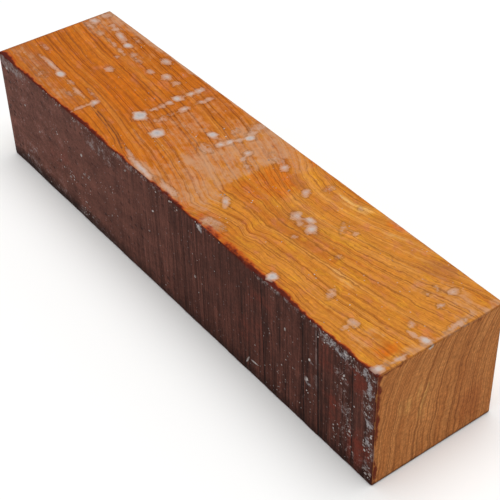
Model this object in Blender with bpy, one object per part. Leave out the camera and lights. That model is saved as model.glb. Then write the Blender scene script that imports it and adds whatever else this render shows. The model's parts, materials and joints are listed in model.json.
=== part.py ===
"""A square turning billet of cocobolo, sealed with wax while it seasons.

Metres, +Z up. The billet lies on Z = 0 with its length along X. Its clean-cut end faces +X,
its dark, rough-sawn side faces -Y, and the origin is on the ground under its middle.
It is one piece of timber. The wax that dried on it stands up from its faces, and the saw
marks and the drying checks are cut into them.
"""

import math
from typing import NamedTuple

import bmesh
import bpy
from mathutils import Matrix, Vector, noise

# The blank: a little narrower and lower at the clean-cut end
LENGTH = 0.305
FAR_WIDTH = 0.0698
NEAR_WIDTH = 0.0684
FAR_HEIGHT = 0.0658
NEAR_HEIGHT = 0.0646

# Edges, softened and then worn unevenly
EDGE_RADIUS = 0.0008
EDGE_STEPS = 2
WEAR_DEPTH = 0.0011
WEAR_LENGTH = 0.014
WEAR_SEED = 3.7

# Where the mesh is divided, so that the faces can be shaped
SECTION_STEP = 0.005
SECTION_GAP = 0.0006
CROSS_ROWS = (-0.012, 0.012)
HEIGHT_ROWS = (0.021, 0.043)

# Saw marks on the sawn side
MARK_HALF_WIDTH = 0.0009
MARK_FADE = 0.35
SURFACE_REACH = 0.0005

# Wax
WAX_RISE = 0.00045
WAX_CROWN = 0.045
WAX_SINK = 0.0001
WAX_SIDES = 10
WAX_RINGS = 6

# Drying checks
CHECK_WIDTH = 0.0007
CHECK_DEPTH = 0.0035
CHECK_CLEARANCE = 0.002
CHECK_POINTS = 9

TINY = 1e-6
MERGE_DISTANCE = 1e-6


class SawMark(NamedTuple):
    """A deeper stroke of the saw: its distance from the far end, and its depth."""

    along: float
    depth: float


class WaxPat(NamedTuple):
    """A low pat of dried wax.

    Its middle lies along the billet from the far end, and across from the face's arris:
    the one at +Y for the top, and the upper one for the sawn side.
    """

    along: float
    across: float
    length: float
    breadth: float
    turn: float = 0.0


class DryingCheck(NamedTuple):
    """A short split along the grain of the top, from start to end, as along and across."""

    start: tuple
    end: tuple


SAW_MARKS = (
    SawMark(0.1715, 0.00050),
    SawMark(0.1810, 0.00025),
    SawMark(0.1850, 0.00020),
    SawMark(0.1930, 0.00025),
    SawMark(0.2010, 0.00020),
    SawMark(0.2070, 0.00025),
    SawMark(0.2160, 0.00030),
    SawMark(0.2200, 0.00030),
    SawMark(0.2315, 0.00050),
    SawMark(0.2375, 0.00025),
    SawMark(0.2485, 0.00030),
    SawMark(0.2595, 0.00050),
    SawMark(0.2695, 0.00060),
    SawMark(0.2915, 0.00040),
)

TOP_WAX = (
    # Drips that ran across the top
    WaxPat(0.0965, 0.0098, 0.0045, 0.0095),
    WaxPat(0.0955, 0.0210, 0.0050, 0.0090),
    WaxPat(0.0970, 0.0322, 0.0030, 0.0100),
    WaxPat(0.0975, 0.0435, 0.0090, 0.0080),
    WaxPat(0.1055, 0.0110, 0.0040, 0.0085),
    WaxPat(0.1055, 0.0226, 0.0038, 0.0080),
    WaxPat(0.1055, 0.0365, 0.0032, 0.0075),
    WaxPat(0.1148, 0.0450, 0.0070, 0.0075),
    WaxPat(0.1325, 0.0250, 0.0055, 0.0050),
    WaxPat(0.1410, 0.0060, 0.0035, 0.0080),
    WaxPat(0.1445, 0.0140, 0.0034, 0.0070, -25.0),
    WaxPat(0.1418, 0.0232, 0.0034, 0.0090),
    WaxPat(0.1565, 0.0232, 0.0024, 0.0090, 28.0),
    # Smears along the grain near the far end
    WaxPat(0.0045, 0.0130, 0.0060, 0.0045),
    WaxPat(0.0220, 0.0096, 0.0160, 0.0030, -12.0),
    WaxPat(0.0375, 0.0122, 0.0070, 0.0040),
    WaxPat(0.0365, 0.0178, 0.0160, 0.0026, -5.0),
    WaxPat(0.0635, 0.0055, 0.0060, 0.0040),
    WaxPat(0.0505, 0.0156, 0.0080, 0.0028),
    WaxPat(0.0760, 0.0130, 0.0050, 0.0045),
    WaxPat(0.0515, 0.0325, 0.0055, 0.0040),
    WaxPat(0.0300, 0.0537, 0.0220, 0.0026, -3.0),
    WaxPat(0.0402, 0.0546, 0.0050, 0.0036),
    WaxPat(0.0737, 0.0605, 0.0022, 0.0110),
    # Blots on the clean-cut half
    WaxPat(0.1740, 0.0135, 0.0062, 0.0052),
    WaxPat(0.1965, 0.0180, 0.0036, 0.0050),
    WaxPat(0.2075, 0.0315, 0.0045, 0.0055),
    WaxPat(0.2128, 0.0287, 0.0052, 0.0029),
    WaxPat(0.2128, 0.0338, 0.0050, 0.0028),
    WaxPat(0.2178, 0.0325, 0.0044, 0.0044),
    WaxPat(0.1785, 0.0510, 0.0050, 0.0028, -30.0),
    WaxPat(0.2565, 0.0520, 0.0030, 0.0070, 20.0),
    WaxPat(0.2760, 0.0585, 0.0032, 0.0070),
    WaxPat(0.2910, 0.0390, 0.0040, 0.0035),
    WaxPat(0.2990, 0.0418, 0.0090, 0.0028, 12.0),
    # Wax gathered along the arris of the sawn side
    WaxPat(0.1330, 0.0664, 0.0220, 0.0026, -5.0),
    WaxPat(0.1510, 0.0646, 0.0160, 0.0028),
    WaxPat(0.1860, 0.0664, 0.0052, 0.0030),
    WaxPat(0.2335, 0.0652, 0.0042, 0.0036),
    WaxPat(0.3005, 0.0650, 0.0048, 0.0050),
)

SIDE_WAX = (
    WaxPat(0.1860, 0.0028, 0.0030, 0.0040),
    WaxPat(0.2620, 0.0370, 0.0044, 0.0042),
    WaxPat(0.2640, 0.0230, 0.0026, 0.0030),
    WaxPat(0.2755, 0.0034, 0.0080, 0.0040),
    WaxPat(0.2850, 0.0042, 0.0080, 0.0052),
    WaxPat(0.2940, 0.0036, 0.0075, 0.0044),
    WaxPat(0.3010, 0.0100, 0.0046, 0.0080),
    WaxPat(0.3014, 0.0190, 0.0040, 0.0075),
    WaxPat(0.3010, 0.0285, 0.0048, 0.0090),
    WaxPat(0.3014, 0.0385, 0.0038, 0.0080),
    WaxPat(0.3010, 0.0485, 0.0046, 0.0090),
    WaxPat(0.3014, 0.0570, 0.0036, 0.0060),
)

CHECKS = (
    DryingCheck((0.0800, 0.0560), (0.1080, 0.0612)),
    DryingCheck((0.0880, 0.0592), (0.1170, 0.0640)),
)


def clear_scene() -> None:
    """Remove the objects that the scene starts with."""
    for thing in list(bpy.data.objects):
        bpy.data.objects.remove(thing, do_unlink=True)


def add_collection(name: str) -> bpy.types.Collection:
    """Add a collection to the scene."""
    collection = bpy.data.collections.new(name)
    bpy.context.scene.collection.children.link(collection)
    return collection


def add_object(name: str, bm: bmesh.types.BMesh, collection: bpy.types.Collection) -> bpy.types.Object:
    """Make an object of a finished bmesh, and free the bmesh."""
    mesh = bpy.data.meshes.new(name)
    bm.to_mesh(mesh)
    bm.free()
    thing = bpy.data.objects.new(name, mesh)
    collection.objects.link(thing)
    return thing


def width_at(x: float) -> float:
    """The billet's width at a place along it."""
    share = x / LENGTH + 0.5
    return FAR_WIDTH + (NEAR_WIDTH - FAR_WIDTH) * share


def height_at(x: float) -> float:
    """The billet's height at a place along it."""
    share = x / LENGTH + 0.5
    return FAR_HEIGHT + (NEAR_HEIGHT - FAR_HEIGHT) * share


def mark_depth(x: float, z: float) -> float:
    """How deep the saw marks are at a place on the sawn side."""
    along = x + LENGTH / 2
    depth = 0.0
    for mark in SAW_MARKS:
        share = 1.0 - abs(along - mark.along) / MARK_HALF_WIDTH
        depth = max(depth, mark.depth * share)
    fade = noise.noise(Vector((along / WEAR_LENGTH, z / WEAR_LENGTH, WEAR_SEED)))
    return depth * (1.0 + MARK_FADE * fade)


def wear_at(x: float, arris: float) -> float:
    """How far an arris is worn in at a place along it. Each arris has its own number."""
    rough = noise.noise(Vector((x / WEAR_LENGTH, WEAR_SEED * (arris + 1.0), 0.0)))
    return WEAR_DEPTH * max(0.0, rough)


def section_places() -> list:
    """The places along X where the mesh is divided: even steps, and three for each saw mark."""
    places = []
    for mark in SAW_MARKS:
        middle = mark.along - LENGTH / 2
        places.extend((middle - MARK_HALF_WIDTH, middle, middle + MARK_HALF_WIDTH))
    steps = round(LENGTH / SECTION_STEP)
    for index in range(1, steps):
        place = -LENGTH / 2 + index * SECTION_STEP
        if all(abs(place - taken) > SECTION_GAP for taken in places):
            places.append(place)
    return sorted(places)


def divide(bm: bmesh.types.BMesh, point: Vector, normal: Vector) -> None:
    """Divide every face that a plane crosses."""
    everything = bm.verts[:] + bm.edges[:] + bm.faces[:]
    bmesh.ops.bisect_plane(bm, geom=everything, dist=TINY, plane_co=point, plane_no=normal)


def shaped(point: Vector) -> Vector:
    """Move a point of the straight block to its place on the tapered, worn and sawn billet."""
    x = point.x
    y = point.y * width_at(x) / FAR_WIDTH
    z = point.z * height_at(x) / FAR_HEIGHT
    half_width = width_at(x) / 2
    on_sawn_side = y < -half_width + SURFACE_REACH
    near_top = z > height_at(x) - EDGE_RADIUS - TINY
    near_ground = z < EDGE_RADIUS + TINY
    near_side = abs(y) > half_width - EDGE_RADIUS - TINY
    if near_side and (near_top or near_ground):
        arris = (2.0 if near_top else 0.0) + (1.0 if y > 0 else 0.0)
        wear = wear_at(x, arris)
        y -= math.copysign(wear, y)
        if near_top:
            z -= wear
    if on_sawn_side:
        y += mark_depth(x, z)
    return Vector((x, y, z))


def timber_block(collection: bpy.types.Collection) -> bpy.types.Object:
    """The bare timber: a softened block, divided and then shaped point by point."""
    bm = bmesh.new()
    bmesh.ops.create_cube(bm, size=1.0)
    bmesh.ops.scale(bm, vec=(LENGTH, FAR_WIDTH, FAR_HEIGHT), verts=bm.verts)
    bmesh.ops.translate(bm, vec=(0.0, 0.0, FAR_HEIGHT / 2), verts=bm.verts)
    bmesh.ops.bevel(
        bm,
        geom=bm.edges[:],
        offset=EDGE_RADIUS,
        segments=EDGE_STEPS,
        profile=0.5,
        affect="EDGES",
    )
    for place in section_places():
        divide(bm, Vector((place, 0.0, 0.0)), Vector((1.0, 0.0, 0.0)))
    for place in CROSS_ROWS:
        divide(bm, Vector((0.0, place, 0.0)), Vector((0.0, 1.0, 0.0)))
    for place in HEIGHT_ROWS:
        divide(bm, Vector((0.0, 0.0, place)), Vector((0.0, 0.0, 1.0)))
    for vert in bm.verts:
        vert.co = shaped(vert.co)
    return add_object("billet", bm, collection)


def top_place(pat: WaxPat) -> Matrix:
    """Where a pat sits on the top, facing up."""
    x = pat.along - LENGTH / 2
    y = width_at(x) / 2 - pat.across
    return Matrix.Translation((x, y, height_at(x) - WAX_SINK))


def side_place(pat: WaxPat) -> Matrix:
    """Where a pat sits on the sawn side, facing -Y."""
    x = pat.along - LENGTH / 2
    y = -width_at(x) / 2 + WAX_SINK
    facing_out = Matrix.Rotation(math.radians(90.0), 4, "X")
    return Matrix.Translation((x, y, height_at(x) - pat.across)) @ facing_out


def wax_pat(name: str, pat: WaxPat, place: Matrix, collection: bpy.types.Collection) -> None:
    """A flattened ball of wax, half sunk in the face that it lies on."""
    rise = WAX_RISE + WAX_CROWN * min(pat.length, pat.breadth)
    bm = bmesh.new()
    bmesh.ops.create_uvsphere(bm, u_segments=WAX_SIDES, v_segments=WAX_RINGS, radius=1.0)
    bmesh.ops.scale(bm, vec=(pat.length / 2, pat.breadth / 2, rise), verts=bm.verts)
    turned = place @ Matrix.Rotation(math.radians(pat.turn), 4, "Z")
    bmesh.ops.transform(bm, matrix=turned, verts=bm.verts)
    add_object(name, bm, collection)


def raise_wax(billet: bpy.types.Object, wax: bpy.types.Collection) -> None:
    """Grow the pats of wax from the timber with one union, and remove the loose ones."""
    for index, pat in enumerate(TOP_WAX):
        wax_pat(f"top_wax_{index + 1}", pat, top_place(pat), wax)
    for index, pat in enumerate(SIDE_WAX):
        wax_pat(f"side_wax_{index + 1}", pat, side_place(pat), wax)
    union = billet.modifiers.new("wax", "BOOLEAN")
    union.operation = "UNION"
    union.operand_type = "COLLECTION"
    union.collection = wax
    union.solver = "EXACT"
    ready = billet.evaluated_get(bpy.context.evaluated_depsgraph_get())
    bare = billet.data
    billet.data = bpy.data.meshes.new_from_object(ready)
    billet.modifiers.remove(union)
    bpy.data.meshes.remove(bare)
    for pat in list(wax.objects):
        bpy.data.objects.remove(pat, do_unlink=True)
    bpy.data.collections.remove(wax)


def check_outline(check: DryingCheck) -> list:
    """The pointed outline of a drying check, as places on the top."""
    start = Vector(check.start)
    run = Vector(check.end) - start
    aside = Vector((-run.y, run.x)).normalized() * CHECK_WIDTH / 2
    shares = [index / (CHECK_POINTS - 1) for index in range(CHECK_POINTS)]
    one_side = [start + run * share + aside * math.sin(math.pi * share) for share in shares]
    other_side = [start + run * share - aside * math.sin(math.pi * share) for share in shares]
    places = one_side + other_side[-2:0:-1]
    outline = []
    for place in places:
        x = place.x - LENGTH / 2
        outline.append(Vector((x, width_at(x) / 2 - place.y, 0.0)))
    return outline


def check_cutter(name: str, check: DryingCheck, cutters: bpy.types.Collection) -> bpy.types.Object:
    """The thin upright blade that cuts a drying check into the top."""
    outline = check_outline(check)
    curve = bpy.data.curves.new(name, "CURVE")
    curve.dimensions = "2D"
    curve.fill_mode = "BOTH"
    curve.extrude = (CHECK_DEPTH + CHECK_CLEARANCE) / 2
    spline = curve.splines.new("POLY")
    spline.points.add(len(outline) - 1)
    spline.use_cyclic_u = True
    for point, place in zip(spline.points, outline):
        point.co = (place.x, place.y, 0.0, 1.0)
    flat = bpy.data.objects.new(name, curve)
    cutters.objects.link(flat)
    bpy.context.view_layer.update()
    ready = flat.evaluated_get(bpy.context.evaluated_depsgraph_get())
    bm = bmesh.new()
    bm.from_mesh(bpy.data.meshes.new_from_object(ready))
    bmesh.ops.remove_doubles(bm, verts=bm.verts, dist=MERGE_DISTANCE)
    middle = height_at(outline[0].x) + (CHECK_CLEARANCE - CHECK_DEPTH) / 2
    bmesh.ops.translate(bm, vec=(0.0, 0.0, middle), verts=bm.verts)
    bmesh.ops.recalc_face_normals(bm, faces=bm.faces)
    bpy.data.objects.remove(flat, do_unlink=True)
    cutter = add_object(name, bm, cutters)
    cutter.hide_render = True
    cutter.display_type = "WIRE"
    return cutter


def cut_checks(billet: bpy.types.Object, cutters: bpy.types.Collection) -> None:
    """Split the top along the grain."""
    for index, check in enumerate(CHECKS):
        name = f"check_{index + 1}"
        cut = billet.modifiers.new(name, "BOOLEAN")
        cut.operation = "DIFFERENCE"
        cut.object = check_cutter(f"{name}_cutter", check, cutters)
        cut.solver = "EXACT"


def timber_material() -> bpy.types.Material:
    """Orange-brown heartwood under a thin, slightly glossy coat of wax."""
    material = bpy.data.materials.new("waxed_cocobolo")
    material.use_nodes = True
    shader = material.node_tree.nodes["Principled BSDF"]
    shader.inputs["Base Color"].default_value = (0.46, 0.16, 0.035, 1.0)
    shader.inputs["Roughness"].default_value = 0.38
    shader.inputs["Metallic"].default_value = 0.0
    return material


def main() -> None:
    """Build the billet."""
    clear_scene()
    billet_collection = add_collection("turning_billet")
    cutters = add_collection("cutters")
    billet = timber_block(billet_collection)
    raise_wax(billet, add_collection("wax_pats"))
    cut_checks(billet, cutters)
    billet.data.materials.clear()
    billet.data.materials.append(timber_material())


main()
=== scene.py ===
"""A wax-sealed cocobolo turning billet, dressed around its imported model.

Metres, in the model's frame: the billet lies along X with its clean-cut end at +X, its
rough-sawn side faces -Y, and the ground is Z = 0. Places read off a face are in millimetres:
along from the far end, and across or down from the face's arris.
"""

from __future__ import annotations

import json
import logging
import math
import random
from dataclasses import dataclass, field
from enum import Enum
from typing import Callable, NamedTuple

import bpy
import numpy as np
from mathutils import Matrix, Vector, noise

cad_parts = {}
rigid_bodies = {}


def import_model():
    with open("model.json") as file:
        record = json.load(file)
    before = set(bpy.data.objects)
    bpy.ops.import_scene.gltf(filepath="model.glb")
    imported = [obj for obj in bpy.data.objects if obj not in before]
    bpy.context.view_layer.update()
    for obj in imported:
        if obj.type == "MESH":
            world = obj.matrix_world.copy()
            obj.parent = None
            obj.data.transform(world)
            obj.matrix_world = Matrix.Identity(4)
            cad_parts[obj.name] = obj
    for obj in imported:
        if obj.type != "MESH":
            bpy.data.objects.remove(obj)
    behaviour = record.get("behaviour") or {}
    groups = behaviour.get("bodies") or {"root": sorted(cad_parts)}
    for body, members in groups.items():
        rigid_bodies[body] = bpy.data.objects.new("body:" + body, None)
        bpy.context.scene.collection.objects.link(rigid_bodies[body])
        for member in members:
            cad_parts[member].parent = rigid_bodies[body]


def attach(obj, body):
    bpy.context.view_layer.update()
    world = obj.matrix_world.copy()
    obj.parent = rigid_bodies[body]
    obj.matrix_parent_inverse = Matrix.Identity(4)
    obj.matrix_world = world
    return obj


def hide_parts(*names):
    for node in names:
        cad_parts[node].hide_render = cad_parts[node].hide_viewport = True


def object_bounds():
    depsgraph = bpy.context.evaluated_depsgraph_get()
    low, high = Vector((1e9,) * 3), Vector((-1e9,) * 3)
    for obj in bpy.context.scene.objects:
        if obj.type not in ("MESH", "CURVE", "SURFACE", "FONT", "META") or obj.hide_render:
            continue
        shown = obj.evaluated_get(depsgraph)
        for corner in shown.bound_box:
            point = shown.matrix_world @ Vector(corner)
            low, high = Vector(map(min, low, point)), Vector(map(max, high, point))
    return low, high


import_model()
CAD_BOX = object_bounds()

MM = 0.001
BODY = "root"
TIMBER_NODE = "billet"

# The flat faces that places are read off, in millimetres
FACE_LENGTH = 305.0
FACE_WIDTH = 69.0
FACE_DEPTH = 65.2
HALF_LENGTH = FACE_LENGTH / 2
MID_HEIGHT = 33.0

# More than any distance on a face, in millimetres
FAR_OFF = 99.0

# How closely a normal follows an axis where the surface is flat, turned or only slanting that way
FLAT = 0.9
TURNED = 0.6
SLANTING = 0.3

LOG = logging.getLogger("billet")


def srgb(red: float, green: float, blue: float) -> tuple:
    """Turn a screen colour into the linear one that a shader takes.

    Args:
        red: from 0 to 255.
        green: from 0 to 255.
        blue: from 0 to 255.

    Returns:
        The linear red, green and blue, and an alpha of 1.
    """
    shares = [value / 255.0 for value in (red, green, blue)]
    linear = [s / 12.92 if s <= 0.04045 else ((s + 0.055) / 1.055) ** 2.4 for s in shares]
    return (*linear, 1.0)


class Wire:
    """A node's output. Arithmetic on it adds the Math nodes."""

    def __init__(self, bench: Bench, socket: bpy.types.NodeSocket) -> None:
        """Hold a socket and the bench that its material is made on."""
        self.bench = bench
        self.socket = socket

    def _math(self, operation: str, *values: Wire | float) -> Wire:
        """Add a Math node on some values."""
        return self.bench.out("ShaderNodeMath", {"operation": operation}, dict(enumerate(values)))

    def __add__(self, other: Wire | float) -> Wire:
        """Add."""
        return self._math("ADD", self, other)

    __radd__ = __add__

    def __mul__(self, other: Wire | float) -> Wire:
        """Multiply."""
        return self._math("MULTIPLY", self, other)

    __rmul__ = __mul__

    def __sub__(self, other: Wire | float) -> Wire:
        """Take away."""
        return self._math("SUBTRACT", self, other)

    def __rsub__(self, other: Wire | float) -> Wire:
        """Take this away from another."""
        return self._math("SUBTRACT", other, self)

    def __truediv__(self, other: Wire | float) -> Wire:
        """Divide."""
        return self._math("DIVIDE", self, other)

    def __rtruediv__(self, other: Wire | float) -> Wire:
        """Divide another by this."""
        return self._math("DIVIDE", other, self)

    def absolute(self) -> Wire:
        """The size without the sign."""
        return self._math("ABSOLUTE", self)

    def least(self, other: Wire | float) -> Wire:
        """The smaller of the two."""
        return self._math("MINIMUM", self, other)

    def most(self, other: Wire | float) -> Wire:
        """The larger of the two."""
        return self._math("MAXIMUM", self, other)

    def rise(self, low: float, high: float) -> Wire:
        """A soft step: 0 below low and 1 above high."""
        settings = {"interpolation_type": "SMOOTHSTEP"}
        return self.bench.out("ShaderNodeMapRange", settings, {0: self, 1: low, 2: high, 3: 0.0, 4: 1.0})

    def fall(self, low: float, high: float) -> Wire:
        """A soft step down: 1 below low and 0 above high."""
        settings = {"interpolation_type": "SMOOTHSTEP"}
        return self.bench.out("ShaderNodeMapRange", settings, {0: self, 1: low, 2: high, 3: 1.0, 4: 0.0})


class Bench:
    """A material in the making: its nodes and its one shader."""

    def __init__(self, name: str) -> None:
        """Start a material.

        Args:
            name: the material's name.
        """
        self.material = bpy.data.materials.new(name)
        self.material.use_nodes = True
        self.tree = self.material.node_tree
        self.shader = self.tree.nodes["Principled BSDF"]

    def _plug(self, socket: bpy.types.NodeSocket, value: Wire | float | tuple) -> None:
        """Link a wire to a socket, or set the socket's own value.

        Args:
            socket: the input.
            value: a wire, a number or a colour.
        """
        if isinstance(value, Wire):
            self.tree.links.new(value.socket, socket)
        else:
            socket.default_value = value

    def node(self, kind: str, settings: dict | None = None, inputs: dict | None = None) -> bpy.types.Node:
        """Add a node.

        Args:
            kind: the node's type.
            settings: its options, set first.
            inputs: a wire or a value for each input, by the input's name or number.

        Returns:
            The node.
        """
        node = self.tree.nodes.new(kind)
        for key, value in (settings or {}).items():
            setattr(node, key, value)
        for key, value in (inputs or {}).items():
            self._plug(node.inputs[key], value)
        return node

    def out(
        self,
        kind: str,
        settings: dict | None = None,
        inputs: dict | None = None,
        output: int | str = 0,
    ) -> Wire:
        """Add a node, and take one of its outputs as a wire."""
        return Wire(self, self.node(kind, settings, inputs).outputs[output])

    def attribute(self, name: str) -> Wire:
        """What the mesh carries at each point under a name, as a vector."""
        settings = {"attribute_type": "GEOMETRY", "attribute_name": name}
        return self.out("ShaderNodeAttribute", settings, output="Vector")

    def place(self) -> Wire:
        """The point's own place on the piece, in metres."""
        return self.out("ShaderNodeTexCoord", output="Object")

    def parts(self, vector: Wire) -> tuple:
        """A vector's three numbers."""
        split = self.node("ShaderNodeSeparateXYZ", inputs={0: vector})
        return tuple(Wire(self, socket) for socket in split.outputs)

    def vector(self, x: Wire | float, y: Wire | float, z: Wire | float) -> Wire:
        """A vector of three numbers."""
        return self.out("ShaderNodeCombineXYZ", inputs={0: x, 1: y, 2: z})

    def stretched(self, vector: Wire, factors: tuple) -> Wire:
        """A vector with each of its numbers multiplied by its own factor."""
        return self.out("ShaderNodeVectorMath", {"operation": "MULTIPLY"}, {0: vector, 1: factors})

    def cloud(self, vector: Wire, factors: tuple, detail: float = 2.0, roughness: float = 0.5) -> Wire:
        """Soft noise about 0.5.

        Args:
            vector: the place.
            factors: how many waves there are to a metre along each axis.
            detail: how many finer layers it has.
            roughness: how strong they are, from 0 to 1.

        Returns:
            The noise.
        """
        spots = self.stretched(vector, factors)
        inputs = {"Vector": spots, "Scale": 1.0, "Detail": detail, "Roughness": roughness}
        return self.out("ShaderNodeTexNoise", {"noise_dimensions": "3D"}, inputs, "Fac")

    def cells(self, vector: Wire, factors: tuple, randomness: float = 1.0) -> tuple:
        """Scattered points.

        Args:
            vector: the place.
            factors: how many cells there are to a metre along each axis.
            randomness: how uneven they are, from 0 to 1.

        Returns:
            The distance to the nearest point, in cells, and that one's own number.
        """
        spots = self.stretched(vector, factors)
        inputs = {"Vector": spots, "Scale": 1.0, "Randomness": randomness}
        node = self.node("ShaderNodeTexVoronoi", {"voronoi_dimensions": "3D"}, inputs)
        number = self.parts(Wire(self, node.outputs["Color"]))[0]
        return Wire(self, node.outputs["Distance"]), number

    def seams(self, distance: Wire, spacing: float, randomness: float) -> Wire:
        """How far a point is from the nearest of many uneven lines, in metres.

        Args:
            distance: the distance that the lines are counted along, in metres.
            spacing: the mean distance between the lines, in metres.
            randomness: how uneven they are, from 0 to 1.

        Returns:
            The distance to the nearest line, in metres.
        """
        settings = {"voronoi_dimensions": "1D", "feature": "DISTANCE_TO_EDGE"}
        inputs = {"W": distance, "Scale": 1.0 / spacing, "Randomness": randomness}
        return self.out("ShaderNodeTexVoronoi", settings, inputs, "Distance") * spacing

    def blend(self, share: Wire | float, first: Wire | tuple, second: Wire | tuple) -> Wire:
        """Mix two colours: the first at a share of 0, the second at 1."""
        settings = {"data_type": "RGBA", "clamp_factor": True}
        return self.out("ShaderNodeMix", settings, {0: share, 6: first, 7: second}, 2)

    def shade(self, colour: Wire, amount: Wire) -> Wire:
        """Multiply a colour by a number."""
        return self.out("ShaderNodeVectorMath", {"operation": "SCALE"}, {0: colour, "Scale": amount})

    def bump(self, height: Wire, depth: float, strength: float = 1.0) -> Wire:
        """The normal of a surface with fine relief: height from 0 to 1, over a depth in metres."""
        return self.out("ShaderNodeBump", None, {"Height": height, "Distance": depth, "Strength": strength})

    def finish(self, sockets: dict) -> bpy.types.Material:
        """Plug the shader's inputs.

        Args:
            sockets: a wire or a value for each input, by its name.

        Returns:
            The material.
        """
        for name, value in sockets.items():
            self._plug(self.shader.inputs[name], value)
        return self.material


class Figure(NamedTuple):
    """The timber's figure at a point, as wires."""

    grain: Wire
    line: Wire
    fine: Wire
    tone: Wire
    streak: Wire
    fibre: Wire
    pores: Wire


@dataclass(frozen=True)
class Growth:
    """Growth lines, fibres and pores, drawn on the timber's own lengths and rings."""

    spacing: float = 3.3 * MM
    fine_spacing: float = 1.25 * MM
    unevenness: float = 0.9
    sway: float = 4.0 * MM
    quiver: float = 3.2 * MM
    line_width: float = 0.37 * MM
    calm: float = 0.4
    dark_rings: tuple = (13.5, 19.4, 22.5, 30.0, 36.5, 38.2, 47.0, 51.0, 57.0, 59.1, 65.5)

    def draw(self, bench: Bench) -> Figure:
        """Add the figure's nodes.

        Args:
            bench: the material that needs the figure.

        Returns:
            The figure's wires.
        """
        timber = bench.attribute("figure")
        along, ring, depth = bench.parts(timber)
        wild = along.rise(0.12, 0.21) * (1.0 - self.calm) + self.calm
        sway = (bench.cloud(timber, (22.0, 60.0, 60.0), 2.0) - 0.5) * self.sway
        quiver = (bench.cloud(timber, (150.0, 290.0, 290.0), 3.0, 0.6) - 0.5) * self.quiver
        ring = ring + (sway + quiver) * wild
        grain = bench.vector(along, ring, depth)
        strength = bench.cloud(grain, (30.0, 430.0, 60.0), 2.0, 0.6)
        width = self.line_width * (strength * 1.6 + 0.25)
        seam = bench.seams(ring, self.spacing, self.unevenness)
        nearest = (ring - self.dark_rings[0] * MM).absolute()
        for place in self.dark_rings[1:]:
            nearest = nearest.least((ring - place * MM).absolute())
        line = (1.0 - seam / width).most(0.0) * strength.rise(0.36, 0.6)
        strong = (1.0 - nearest / (width * 1.25)).most(0.0) * strength.rise(0.28, 0.5)
        line = (line * 0.85).most(strong)
        fine_seam = bench.seams(ring + 0.4, self.fine_spacing, 0.9)
        fine = fine_seam.fall(0.0, self.line_width) * strength.fall(0.35, 0.65)
        tone = bench.cloud(grain, (7.0, 230.0, 20.0), 2.0)
        streak = bench.cloud(grain, (30.0, 620.0, 620.0), 2.0)
        fibre = bench.cloud(grain, (80.0, 1500.0, 1500.0), 3.0, 0.65)
        pores = bench.cloud(grain, (260.0, 2300.0, 2300.0), 1.0).rise(0.6, 0.72)
        return Figure(grain, line, fine, tone, streak, fibre, pores)


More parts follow.
